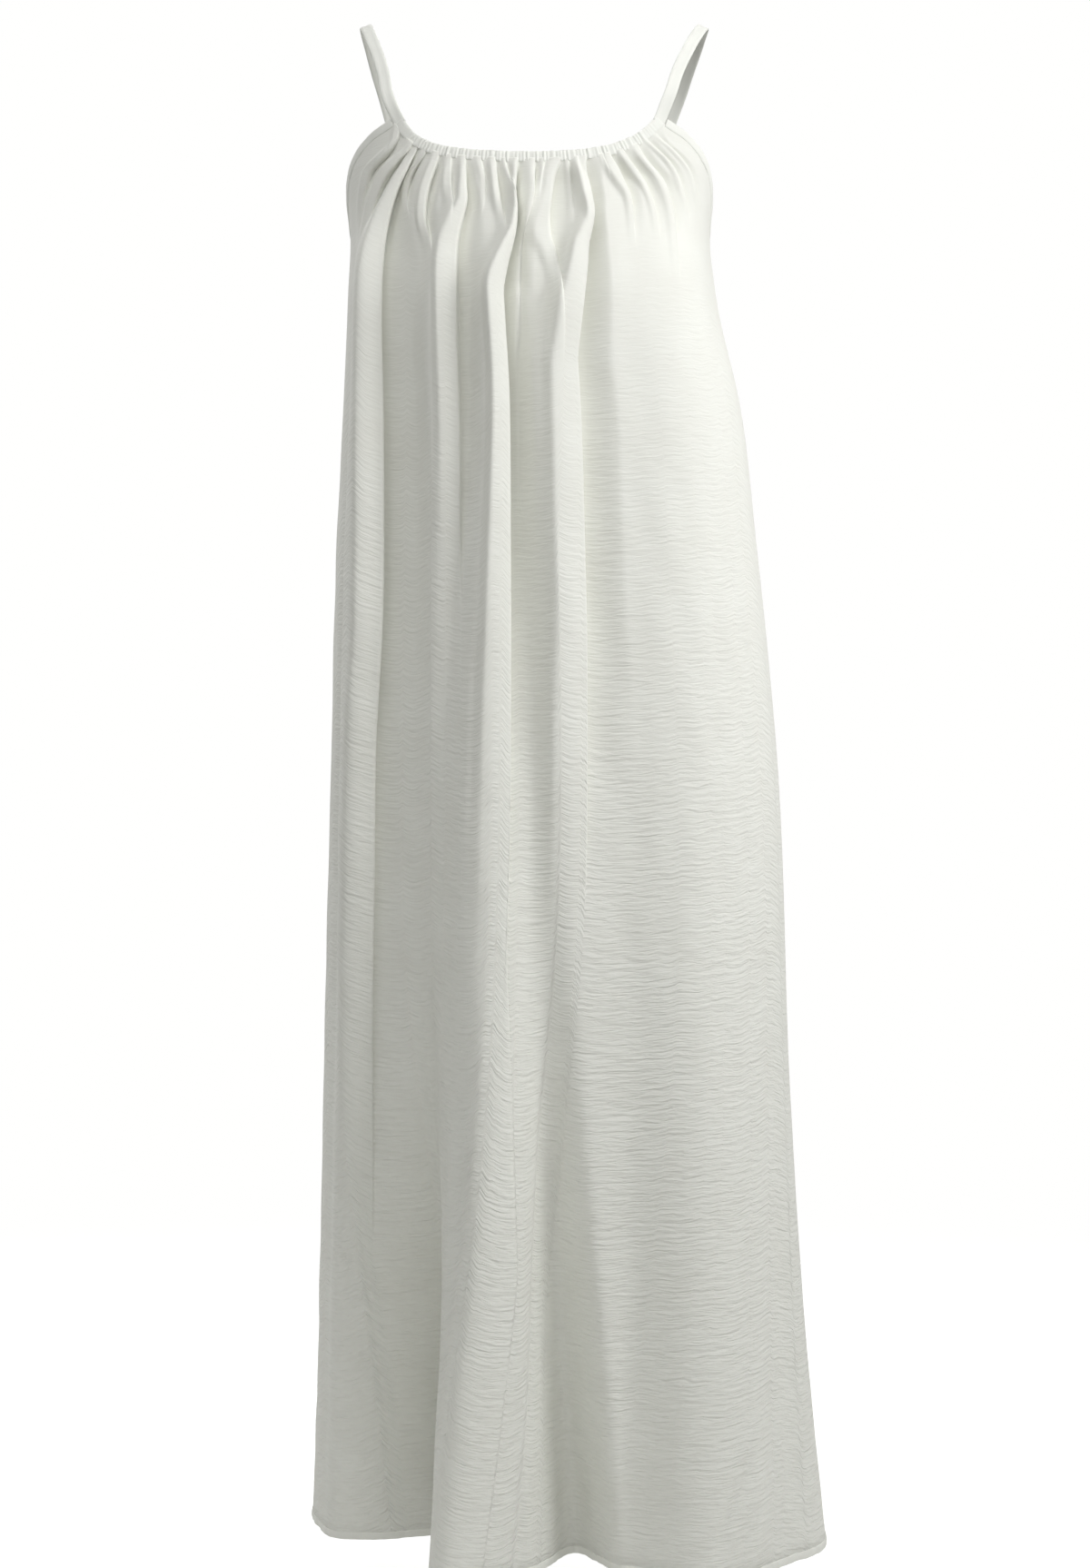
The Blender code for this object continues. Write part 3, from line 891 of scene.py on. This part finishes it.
@dataclass(frozen=True)
class CrepeFinish(ClothFinish):
    """Crinkled viscose crepe, woven from hard-twisted yarn: matt, soft, with fine weft ripples.

    The ripples run across the cloth, a few millimetres apart and a few centimetres long, and grow
    from the neck down. The pebble of the weave, really under half a millimetre, is drawn 1.2 mm
    wide so that it shows.
    """

    name: str = "off_white_viscose_crepe"
    light: str = "F3F4EE"
    shade: str = "EBEBE4"
    roughness: float = 0.86
    specular: float = 0.25
    bloom_roughness: float = 0.55
    tone_scale: float = 22.0
    tone_detail: float = 4.0
    ripple_size: tuple[float, float] = (24.0 * MILLIMETRE, 3.4 * MILLIMETRE)
    ripple_height: float = 1.25 * MILLIMETRE
    ripple_roughness: float = 0.55
    ripple_distortion: float = 0.35
    calm_length: float = 0.10
    full_length: float = 0.95
    calm_share: float = 0.10
    pebble: float = 1.2 * MILLIMETRE
    pebble_height: float = 0.10 * MILLIMETRE
    pebble_strength: float = 0.25

    def relief(self, tree: bpy.types.NodeTree, uv: bpy.types.NodeSocket) -> bpy.types.NodeSocket:
        """Adds the nodes of the ripples over the pebble of the weave.

        Args:
            tree: The material's nodes.
            uv: The cloth coordinates.

        Returns:
            The socket of the bent normal.
        """
        noise = {"Roughness": self.ripple_roughness, "Distortion": self.ripple_distortion}
        ripple = self.creased(tree, uv, self.ripple_size, noise)
        split = add_node(tree, "ShaderNodeSeparateXYZ", None, {0: uv})
        span = {
            "From Min": -self.calm_length,
            "From Max": -self.full_length,
            "To Min": self.calm_share,
        }
        grow = add_node(tree, "ShaderNodeMapRange", span, {"Value": split.outputs[1]})
        factors = {0: ripple, 1: grow.outputs[0]}
        height = add_node(tree, "ShaderNodeMath", {"operation": "MULTIPLY"}, factors)
        dots = {"Scale": 1.0 / self.pebble, "Detail": 2.0}
        grain = add_node(tree, "ShaderNodeTexNoise", dots, {"Vector": uv})
        weave = {"Strength": self.pebble_strength, "Distance": self.pebble_height}
        fine = add_node(tree, "ShaderNodeBump", weave, {"Height": grain.outputs[0]})
        crinkle = {"Strength": 1.0, "Distance": 2.0 * self.ripple_height}
        over = {"Height": height.outputs[0], "Normal": fine.outputs[0]}
        return add_node(tree, "ShaderNodeBump", crinkle, over).outputs[0]


@dataclass(frozen=True)
class BindingFinish(ClothFinish):
    """The same crepe cut on the bias, folded in four and pressed: smoother, a little brighter."""

    name: str = "off_white_bias_binding"
    light: str = "F5F6F0"
    shade: str = "ECEDE7"
    roughness: float = 0.78
    specular: float = 0.30
    bloom_roughness: float = 0.50
    tone_scale: float = 60.0
    tone_detail: float = 3.0
    crease_size: tuple[float, float] = (14.0 * MILLIMETRE, 3.0 * MILLIMETRE)
    crease_height: float = 0.25 * MILLIMETRE
    crease_strength: float = 0.35
    crease_distortion: float = 0.3

    def relief(self, tree: bpy.types.NodeTree, uv: bpy.types.NodeSocket) -> bpy.types.NodeSocket:
        """Short soft creases along the strip."""
        creases = self.creased(tree, uv, self.crease_size, {"Distortion": self.crease_distortion})
        pressed = {"Strength": self.crease_strength, "Distance": self.crease_height}
        return add_node(tree, "ShaderNodeBump", pressed, {"Height": creases}).outputs[0]


# ---------------------------------------------------------------- the dress


def place(piece: bpy.types.Object, finish: bpy.types.Material, slot: str, *nodes: str) -> None:
    """Dresses a piece, fixes it to the dress and hides the solids it stands for.

    Args:
        piece: The finished object.
        finish: Its material.
        slot: A material slot's name; not used.
        nodes: The solids it replaces.
    """
    piece.data.materials.append(finish)
    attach(piece, "root")
    if nodes:
        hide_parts(*nodes)
    log.info("%s: %d points", piece.name, len(piece.data.vertices))


def add_wall(piece: bpy.types.Object, thickness: float) -> None:
    """Gives an open cloth its thickness, half to either side."""
    wall = piece.modifiers.new("wall", "SOLIDIFY")
    wall.thickness = thickness
    wall.offset = 0.0


@dataclass
class Panel:
    """A gathered panel: cut wide and long, drawn up into the neck binding, open at the hem.

    Every column of its grid keeps its place between two neighbouring creases all the way down, so
    the sharp edges of the pleats run along the mesh. The columns are shared out by the room between
    the creases at chest_z and at one low_level-th of the height. steep and reach each hold a share
    of a crease's depth and a least length.
    """

    side: Side
    form: Form
    top: TopEdge
    creases: tuple[Crease, ...]
    dents: tuple[Dent, ...]
    flat: tuple[float, float]
    area: float
    columns: int = 400
    rows: int = 114
    crowding: float = 1.45
    wall: float = 0.0005
    tuck: float = 0.004
    seam_dip: float = 0.0009
    ripple: float = 0.0006
    least_gap: float = 0.006
    crest: float = 0.55
    rounding: float = 0.8
    soft_depth: float = 0.003
    ridge_rise: float = 0.4
    ridge_power: float = 1.3
    lap_share: float = 0.6
    steep: tuple[float, float] = (0.30, 0.001)
    reach: tuple[float, float] = (0.40, 0.0015)
    hem_rise: float = 0.006
    hem_rise_share: float = 0.9
    edge_samples: int = 8001
    chest_z: float = -0.18
    low_level: int = 3
    least_columns: int = 8
    evenness: float = 0.45
    gathered: float = 0.28
    gathered_depth: float = 0.016
    seam_calm: float = 0.020
    seam_width: float = 0.003
    tuck_depth: float = 0.020
    neck_fade: tuple[float, float] = (0.01, 0.02)
    ripple_pitch: float = 0.045
    ripple_height: float = 0.16
    ripple_slant: float = 0.15
    ripple_start: float = 0.05
    dent_fade: float = 0.3
    guides: np.ndarray = field(init=False)

    def __post_init__(self) -> None:
        """Works out the share of the way round of every crease at every height, seams included."""
        levels = self.form.ring.levels()[:, 0]
        shares = [np.full_like(levels, -1.0)]
        for crease in self.creases:
            z = np.array(crease.z) * MILLIMETRE
            lapped = self.lap_share * crease.lap * np.array(crease.depth)
            known = self.form.share_at((np.array(crease.x) - lapped) * MILLIMETRE, z)
            shares.append(smooth_through(levels, z, known))
        shares.append(np.full_like(levels, 1.0))
        number = np.arange(len(shares))[:, None] * self.least_gap
        self.guides = np.maximum.accumulate(np.array(shares) - number, axis=0) + number

    def guide(self, number: int | np.ndarray, z: np.ndarray) -> np.ndarray:
        """The share of the way round of a crease at the heights z."""
        levels = self.form.ring.levels()[:, 0]
        place = np.clip((z - levels[0]) / (levels[1] - levels[0]), 0, len(levels) - 1)
        below = np.minimum(place.astype(int), len(levels) - 2)
        part = place - below
        return self.guides[number, below] * (1.0 - part) + self.guides[number, below + 1] * part

    def column_places(self) -> tuple[np.ndarray, np.ndarray, np.ndarray]:
        """Where the columns stand: closer together next to the creases than between them.

        Returns:
            Each column's share along the top edge, the crease on its right, and how far it stands
            from that crease to the next one, from 0 to 1.
        """
        s = np.linspace(-1.0, 1.0, self.edge_samples)
        share = top_share(self.top, s)
        z = top_height(self.top, s)
        low = self.guides[:, self.guides.shape[1] // self.low_level]
        high = self.guide(np.arange(len(self.guides)), np.array(self.chest_z))
        room = 0.5 * np.diff(low) / np.ptp(low) + 0.5 * np.diff(high) / np.ptp(high)
        counts = np.maximum(self.least_columns, np.round(room * self.columns)).astype(int)
        places, numbers, parts = [], [], []
        for number, count in enumerate(counts):
            t = np.arange(count) / count
            bunched = 0.5 - 0.5 * np.cos(math.pi * t)
            part = self.evenness * t + (1.0 - self.evenness) * bunched
            first = self.guide(number, z)
            second = self.guide(number + 1, z)
            places.append(np.interp(part, (share - first) / (second - first), s))
            numbers.append(np.full(count, number))
            parts.append(part)
        places.append([1.0])
        numbers.append([len(counts) - 1])
        parts.append([1.0])
        return np.concatenate(places), np.concatenate(numbers), np.concatenate(parts)

    def pleated(
        self, share: np.ndarray, z: np.ndarray
    ) -> tuple[np.ndarray, np.ndarray, np.ndarray]:
        """How the creases move the cloth.

        Past an edge the push falls by the depth within a short steep part, and comes back half
        straight and half smoothly along the slope. Before it a low crest stands proud, and where
        the crease has one, a pipe stands the way the panel faces. Both rise over the first four
        tenths of their width and roll down towards the edge. The lip slides along and the cloth
        behind it back, each fading away from the edge.

        Args:
            share: The points' shares of the way round.
            z: Their heights.

        Returns:
            The push outwards and the push forwards in metres, and the slide as a share of the way.
        """
        push = np.zeros_like(share)
        forward = np.zeros_like(share)
        slide = np.zeros_like(share)
        half = self.form.half_length(z)
        for number, crease in enumerate(self.creases, start=1):
            offset = (share - self.guide(number, z)) * half
            depth = np.maximum(crease.at("depth", z), 0.0)
            slope = crease.at("slope", z)
            steep = self.steep[0] * depth + self.steep[1]
            dropped = smooth_step(offset / steep + 0.5)
            t = np.clip((offset - 0.5 * steep) / slope, 0.0, 1.0)
            back = 1.0 - 0.5 * (t + smooth_step(t))
            reach = self.reach[0] * depth + self.reach[1]
            rounding = 1.0 - (1.0 - self.rounding) * smooth_step(depth / self.soft_depth)
            crest = self.crest * self.ridge(offset / slope, rounding) * (1.0 - dropped)
            push += depth * (crest - dropped * back)
            pipe = self.ridge(offset / crease.at("pipe_width", z), rounding) * (1.0 - dropped)
            forward += crease.at("pipe", z) * pipe
            lapped = crease.lap * depth * np.exp(-np.abs(offset) / reach)
            slide += lapped * (1.0 - 2.0 * dropped) / half
        return push, forward, slide

    def ridge(self, offset: np.ndarray, rounding: np.ndarray) -> np.ndarray:
        """A ridge that ends at offset 0 and is one unit wide: a smooth rise, then a roll down.

        Args:
            offset: Distances past the edge, in widths of the ridge.
            rounding: The share of the height that the roll loses by the edge.

        Returns:
            The height, from 0 to 1.
        """
        along = np.clip(offset + 1.0, 0.0, 1.0)
        past = np.clip((along - self.ridge_rise) / (1.0 - self.ridge_rise), 0.0, 1.0)
        rolled = 1.0 - rounding * past**self.ridge_power
        return smooth_step(along / self.ridge_rise) * rolled

    def dented(self, points: np.ndarray) -> np.ndarray:
        """How far the short slanting creases push in: a bell across each line, faded at its ends."""
        push = np.zeros(points.shape[:2])
        for dent in self.dents:
            start, end = np.array(dent.start), np.array(dent.end)
            run = end - start
            from_start = points[..., (0, 2)] - start
            along = (from_start @ run) / (run @ run)
            away = (from_start[..., 0] * run[1] - from_start[..., 1] * run[0]) / np.linalg.norm(run)
            ends = smooth_step(along / self.dent_fade)
            ends = ends * smooth_step((1.0 - along) / self.dent_fade)
            push -= dent.depth * np.exp(-((away / dent.width) ** 2)) * ends
        return push

    def grid(self) -> np.ndarray:
        """The panel's points, from its top edge (row 0) down to the hem."""
        s, number, part = self.column_places()
        v = np.linspace(0.0, 1.0, self.rows)[:, None] ** self.crowding
        start = top_height(self.top, s)[None, :]
        foot = np.array(HEM_Z)
        at_foot = self.guide(number, foot) * (1.0 - part) + self.guide(number + 1, foot) * part
        rise = self.hem_rise * (1.0 - smooth_step((at_foot + 1.0) / self.hem_rise_share))
        z = start + (foot + rise - start) * v
        down = start - z
        share = self.guide(number, z) * (1.0 - part) + self.guide(number + 1, z) * part
        grown = self.gathered + (1.0 - self.gathered) * smooth_step(down / self.gathered_depth)
        push, forward, slide = self.pleated(share, z)
        half = self.form.half_length(z)
        to_seam = (1.0 - np.abs(share)) * half
        calm = smooth_step(to_seam / self.seam_calm)
        points = self.form.at(share + slide * grown * calm, z)
        normal = self.outward(self.form.at(share, z))
        push = push * grown * calm + self.dented(points)
        push = push - self.seam_dip * (1.0 - smooth_step(to_seam / self.seam_width))
        across = share * half + self.ripple_slant * z
        uneven = soft_noise(across, self.ripple_pitch, Unevenness.RIPPLE_ACROSS)
        uneven = uneven * soft_noise(z, self.ripple_height, Unevenness.RIPPLE_DOWN)
        push = push + self.ripple * uneven * calm * smooth_step(down / self.ripple_start)
        points = points + normal * push[..., None]
        points[..., 1] += self.side.facing * forward * grown * calm
        past, fade = self.neck_fade
        on_neck = smooth_step((NECK_SHARE + past - np.abs(s)) / fade)[None, :]
        points[..., 2] += self.tuck * on_neck * (1.0 - smooth_step(down / self.tuck_depth))
        return points

    def outward(self, points: np.ndarray) -> np.ndarray:
        """The outward normal at every point of a grid."""
        across = np.gradient(points, axis=1)
        down = np.gradient(points, axis=0)
        return unit(np.cross(down, across)) * (1.0 if self.side is Side.FRONT else -1.0)

    def build(self, finish: bpy.types.Material) -> bpy.types.Object:
        """Makes the panel and its wall.

        Args:
            finish: The crepe.

        Returns:
            The panel.
        """
        points = self.grid()
        name = self.side.value + "_panel_cloth"
        piece = grid_object(name, points, cloth_uv(points), flip=self.side is Side.FRONT)
        add_wall(piece, self.wall)
        place(piece, finish, "white_crepe", self.side.value + "_panel")
        return piece


@dataclass
class NeckBinding:
    """The narrow casing that the panel's neck edge is gathered into."""

    side: Side
    form: Form
    top: TopEdge
    width: float = 0.0104
    thickness: float = 0.0026
    steps: int = 520
    gap: float = 0.0005
    pucker: float = 0.00050
    pucker_pitch: float = 0.0048
    wander_pitch: float = 0.019
    calm: float = 0.03
    middle: float = 0.0050
    turned_in: float = 0.002
    outline: int = 28
    dent: float = 0.10

    def line(self) -> Line:
        """The binding's middle line, half its width above the panel's edge."""
        s = np.linspace(-NECK_SHARE, NECK_SHARE, self.steps)
        points, normal, up = self.form.edge(self.top, s)
        return Line(points + up * (self.gap + self.middle), up, normal)

    def build(self, finish: bpy.types.Material) -> bpy.types.Object:
        """Makes the binding with its puckers, which calm down towards the straps.

        Args:
            finish: The binding's finish.

        Returns:
            The binding.
        """
        line = self.line()
        along = run_along(line.middle)
        inner = smooth_step(np.minimum(along, along[-1] - along) / self.calm)
        profile = rounded_profile(self.width, self.thickness, self.outline, self.dent)
        puckers = soft_noise(along, self.pucker_pitch, Unevenness.NECK_PUCKER)
        wander = soft_noise(along, self.wander_pitch, Unevenness.NECK_WANDER)
        lift = self.pucker * inner * puckers
        shift = 0.5 * self.pucker * inner * wander
        node = self.side.value + "_neck_binding"
        piece = line.tube(node + "_cloth", profile, lift, shift, self.side is Side.FRONT)
        place(piece, finish, "white_binding", node)
        flat = (self.width + self.turned_in, line.length())
        return piece


@dataclass
class ArmholeBinding:
    """A narrow bias strip that finishes the edge of an armhole, front and back."""

    hand: Hand
    front: Form
    back: Form
    width: float = 0.0084
    thickness: float = 0.0020
    steps: int = 60
    gap: float = -0.0010
    middle: float = 0.0040
    cut_width: float = 0.0100
    outline: int = 24
    dent: float = 0.08
    start: float = 0.10
    start_at: int = 6
    uneven: float = 0.0002
    uneven_pitch: float = 0.03

    def line(self) -> Line:
        """The strip's middle line: down the front panel's edge and up the back one's."""
        s = self.hand.sign * np.linspace(NECK_SHARE, 1.0, self.steps)
        edges = []
        for form, top in ((self.front, FRONT_TOP), (self.back, BACK_TOP)):
            edge = np.stack(form.edge(top, s))
            edge[:, 0] += (edge[:, self.start_at] - edge[:, 0]) * self.start
            edges.append(edge)
        points, normal, up = np.concatenate((edges[0], edges[1][:, -2::-1]), axis=1)
        return Line(points + up * (self.gap + self.middle), up, normal)

    def build(self, finish: bpy.types.Material) -> bpy.types.Object:
        """Makes the strip.

        Args:
            finish: The binding's finish.

        Returns:
            The strip.
        """
        line = self.line()
        profile = rounded_profile(self.width, self.thickness, self.outline, self.dent)
        along = run_along(line.middle)
        lift = self.uneven * soft_noise(along, self.uneven_pitch, Unevenness.ARMHOLE)
        node = "armhole_binding_" + self.hand.value
        piece = line.tube(node + "_cloth", profile, lift, lift, self.hand is Hand.LEFT)
        place(piece, finish, "white_binding", node)
        line.length()
        return piece


@dataclass
class Strap:
    """A strap that carries on from the front neck binding, over the shoulder, to the back one."""

    hand: Hand
    front: Line
    back: Line
    width: float = 0.0110
    thickness: float = 0.0020
    steps: int = 150
    lead: float = 0.020
    gap: float = -0.0030
    outline: int = 28
    dent: float = 0.45
    uneven: float = 0.0003
    uneven_pitch: float = 0.06
    shoulder_out: float = 0.100
    shoulder_z: float = -0.130
    heading_steps: int = 11

    def line(self) -> Line:
        """The strap's middle line, a smooth curve through its route, facing off the shoulder."""
        last = -1 if self.hand is Hand.LEFT else 0
        beside = last - self.heading_steps if self.hand is Hand.LEFT else self.heading_steps
        ends = []
        for binding in (self.front, self.back):
            heading = unit(np.cross(binding.across[last], binding.out[last]))
            heading = heading * np.sign(heading @ (binding.middle[last] - binding.middle[beside]))
            ends.append((binding.middle[last], heading, binding.out[last]))
        sign = self.hand.sign
        out_name = "out_" + self.hand.value
        over = np.array([(sign * getattr(p, out_name), p.y, p.z) for p in STRAP_ROUTE])
        shoulder = np.array((sign * self.shoulder_out, 0.0, self.shoulder_z))
        (front, front_way, front_out), (back, back_way, back_out) = ends
        starts = np.array((front - front_way * self.lead, front + front_way * self.gap))
        finishes = np.array((back + back_way * self.gap, back - back_way * self.lead))
        route = np.concatenate((starts, over, finishes))
        facing = np.concatenate(
            ((front_out, front_out), unit(over - shoulder), (back_out, back_out))
        )
        way = run_along(route)
        at = np.linspace(way[1], way[-2], self.steps)
        middle = np.stack([smooth_through(at, way, route[:, axis]) for axis in range(3)], axis=-1)
        out = np.stack([smooth_through(at, way, facing[:, axis]) for axis in range(3)], axis=-1)
        along = unit(np.gradient(middle, axis=0))
        across = unit(np.cross(along, out))
        return Line(middle, across, unit(np.cross(across, along)))

    def build(self, finish: bpy.types.Material) -> bpy.types.Object:
        """Makes the strap with its pressed middle crease.

        Args:
            finish: The binding's finish.

        Returns:
            The strap.
        """
        line = self.line()
        profile = rounded_profile(self.width, self.thickness, self.outline, self.dent)
        along = run_along(line.middle)
        lift = self.uneven * soft_noise(along, self.uneven_pitch, Unevenness.STRAP)
        node = "strap_" + self.hand.value
        piece = line.tube(node + "_cloth", profile, lift, lift, True)
        place(piece, finish, "white_binding", node)
        line.length()
        return piece


@dataclass
class Hem:
    """The narrow rolled hem: a turned edge round a panel's foot, with small puckers."""

    side: Side
    height: float = 0.0070
    thickness: float = 0.0019
    pucker: float = 0.0005
    pucker_pitch: float = 0.016
    wander_pitch: float = 0.024
    drop: float = 0.0006
    outline: int = 16

    def build(
        self, grid: np.ndarray, normal: np.ndarray, finish: bpy.types.Material
    ) -> bpy.types.Object:
        """Makes the hem along the last row of a panel's grid.

        Args:
            grid: The panel's points.
            normal: The panel's outward normals.
            finish: The crepe.

        Returns:
            The hem.
        """
        foot = grid[-1]
        up = unit(grid[-2] - foot)
        along = run_along(foot)
        profile = rounded_profile(self.height, self.thickness, self.outline)
        line = Line(foot + up * (0.5 * self.height - self.drop), up, normal[-1])
        lift = self.pucker * soft_noise(along, self.pucker_pitch, Unevenness.HEM_PUCKER)
        wander = soft_noise(along, self.wander_pitch, Unevenness.HEM_WANDER)
        shift = 0.5 * self.pucker * wander
        name = self.side.value + "_hem_cloth"
        piece = line.tube(name, profile, lift, shift, self.side is Side.FRONT)
        place(piece, finish, "white_crepe")
        return piece


@dataclass
class Sundress:
    """The whole dress: both panels with their hems, the bindings and the straps."""

    front_form: Form
    back_form: Form

    def build(self) -> None:
        """Builds every piece in the order a maker would sew them."""
        crepe = CrepeFinish().material()
        binding = BindingFinish().material()
        front, back = self.front_form, self.back_form
        panels = (
            Panel(Side.FRONT, front, FRONT_TOP, FRONT_CREASES, FRONT_DENTS, FRONT_FLAT, FRONT_AREA),
            Panel(Side.BACK, back, BACK_TOP, BACK_CREASES, BACK_DENTS, BACK_FLAT, BACK_AREA),
        )
        for panel in panels:
            piece = panel.build(crepe)
            grid = panel.grid()
            hem = Hem(panel.side).build(grid, panel.outward(grid), crepe)
            neck = panel.side.value + "_neck_binding_cloth"
        necks = (NeckBinding(Side.FRONT, front, FRONT_TOP), NeckBinding(Side.BACK, back, BACK_TOP))
        for neck in necks:
            neck.build(binding)
        for hand in Hand:
            ArmholeBinding(hand, front, back).build(binding)
            Strap(hand, necks[0].line(), necks[1].line()).build(binding)


# ---------------------------------------------------------------- the studio


@dataclass(frozen=True)
class Lamp:
    """A soft square light: where it hangs, what it points at, its size, power and colour."""

    name: str
    place: tuple[float, float, float]
    target: tuple[float, float, float]
    size: float
    power: float
    spread: float = math.pi
    colour: str = "FFFFFF"

    def hang(self) -> None:
        """Adds the light to the scene."""
        light = bpy.data.lights.new(self.name, "AREA")
        light.shape = "SQUARE"
        light.size = self.size
        light.energy = self.power
        light.spread = self.spread
        light.color = linear(self.colour)[:3]
        lamp = bpy.data.objects.new(self.name, light)
        lamp.location = self.place
        aim = Vector(self.target) - Vector(self.place)
        lamp.rotation_euler = aim.to_track_quat("-Z", "Y").to_euler()
        bpy.context.scene.collection.objects.link(lamp)


@dataclass
class Studio:
    """A pale floor, soft light from all round with a key light, and the camera."""

    camera_place: tuple[float, float, float] = (0.0139, -2.7, -0.684)
    lens: float = 68.7
    film_width: float = 36.0
    nearest: float = 0.05
    floor_z: float = -1.44
    floor_radii: tuple[float, float] = (0.0005, 3.0)
    floor_fade: tuple[float, float] = (1.0, 2.6)
    floor_grid: tuple[int, int] = (12, 96)
    floor_roughness: float = 0.9
    floor_glow: float = 0.60
    ambient: float = 0.28
    lamps: tuple[Lamp, ...] = (
        Lamp("key_light", (1.25, -0.85, 0.22), (0.05, 0.0, -0.58), 0.7, 4.7, 0.55 * math.pi),
        Lamp("ceiling_light", (-0.2, -1.2, 2.0), (0.0, 0.0, -0.7), 2.0, 32.0),
        Lamp("back_light_right", (-1.8, 2.2, 0.7), (0.0, 0.0, -0.6), 1.4, 26.0),
        Lamp("back_light_left", (2.2, 1.6, 0.2), (0.0, 0.0, -0.7), 1.4, 10.0),
    )

    def set_camera(self) -> None:
        """Adds the camera, level and square to the dress."""
        data = bpy.data.cameras.new("camera")
        data.lens = self.lens
        data.sensor_width = self.film_width
        data.clip_start = self.nearest
        camera = bpy.data.objects.new("camera", data)
        camera.location = self.camera_place
        camera.rotation_euler = (0.5 * math.pi, 0.0, 0.0)
        bpy.context.scene.collection.objects.link(camera)
        bpy.context.scene.camera = camera

    def light_world(self) -> None:
        """Fills the room with soft light, and shows white paper where the camera sees past it."""
        world = bpy.data.worlds.new("paper_white_room")
        tree = new_nodes(world)
        seen = add_node(tree, "ShaderNodeLightPath").outputs["Is Camera Ray"]
        glow = {"Color": linear("FFFFFC"), "Strength": self.ambient}
        soft = add_node(tree, "ShaderNodeBackground", glow)
        paper = add_node(tree, "ShaderNodeBackground", {"Color": linear("FFFFFE"), "Strength": 1.0})
        rooms = {0: seen, 1: soft.outputs[0], 2: paper.outputs[0]}
        mixed = add_node(tree, "ShaderNodeMixShader", None, rooms)
        add_node(tree, "ShaderNodeOutputWorld", None, {0: mixed.outputs[0]})
        bpy.context.scene.world = world

    def lay_floor(self) -> None:
        """Lays a round white paper floor that fades out towards its rim."""
        rings, spokes = self.floor_grid
        angle = np.linspace(0.0, 2.0 * math.pi, spokes, endpoint=False)
        radius = np.linspace(*self.floor_radii, rings)
        ring = np.stack((np.cos(angle), np.sin(angle)), axis=-1)
        flat = radius[:, None, None] * np.concatenate((ring, ring[:1]))[None]
        points = np.concatenate((flat, np.full(flat.shape[:2] + (1,), self.floor_z)), axis=-1)
        floor = grid_object("floor", points, flat)
        floor.data.materials.append(self.floor_finish())

    def floor_finish(self) -> bpy.types.Material:
        """Matt white backdrop paper, which lets the room show through near its rim."""
        made = bpy.data.materials.new("matt_backdrop_paper")
        tree = new_nodes(made)
        at = add_node(tree, "ShaderNodeTexCoord").outputs["Object"]
        split = add_node(tree, "ShaderNodeSeparateXYZ", None, {0: at})
        level = {0: split.outputs[0], 1: split.outputs[1]}
        flat = add_node(tree, "ShaderNodeCombineXYZ", None, level)
        length = {"operation": "LENGTH"}
        reach = add_node(tree, "ShaderNodeVectorMath", length, {0: flat.outputs[0]})
        near, far = self.floor_fade
        span = {"From Min": near, "From Max": far, "interpolation_type": "SMOOTHSTEP"}
        fade = add_node(tree, "ShaderNodeMapRange", span, {"Value": reach.outputs["Value"]})
        matt = {"Base Color": linear("F7F7F5"), "Roughness": self.floor_roughness}
        paper = add_node(tree, "ShaderNodeBsdfPrincipled", matt)
        ray = add_node(tree, "ShaderNodeLightPath").outputs["Is Camera Ray"]
        only_seen = {"operation": "MULTIPLY", 1: self.floor_glow}
        seen = add_node(tree, "ShaderNodeMath", only_seen, {0: ray})
        white = {"Color": linear("FFFFFF")}
        glow = add_node(tree, "ShaderNodeEmission", white, {"Strength": seen.outputs[0]})
        both = {0: paper.outputs[0], 1: glow.outputs[0]}
        lit = add_node(tree, "ShaderNodeAddShader", None, both)
        clear = add_node(tree, "ShaderNodeBsdfTransparent")
        parts = {0: fade.outputs[0], 1: lit.outputs[0], 2: clear.outputs[0]}
        mixed = add_node(tree, "ShaderNodeMixShader", None, parts)
        add_node(tree, "ShaderNodeOutputMaterial", None, {0: mixed.outputs[0]})
        return made

    def build(self) -> None:
        """Sets up everything that isn't the dress."""
        self.set_camera()
        self.light_world()
        self.lay_floor()
        for lamp in self.lamps:
            lamp.hang()
        bpy.context.scene.view_settings.view_transform = "Standard"
        log.info("studio: %d lamps", len(self.lamps))


def main() -> None:
    """Builds the studio and the dress."""
    logging.basicConfig(level=logging.INFO, format="%(name)s %(message)s")
    Studio().build()
    front = Form(Ring(Side.FRONT, FRONT_FOLDS))
    back = Form(Ring(Side.BACK, BACK_FOLDS))
    Sundress(front, back).build()


if __name__ == "__main__":
    main()
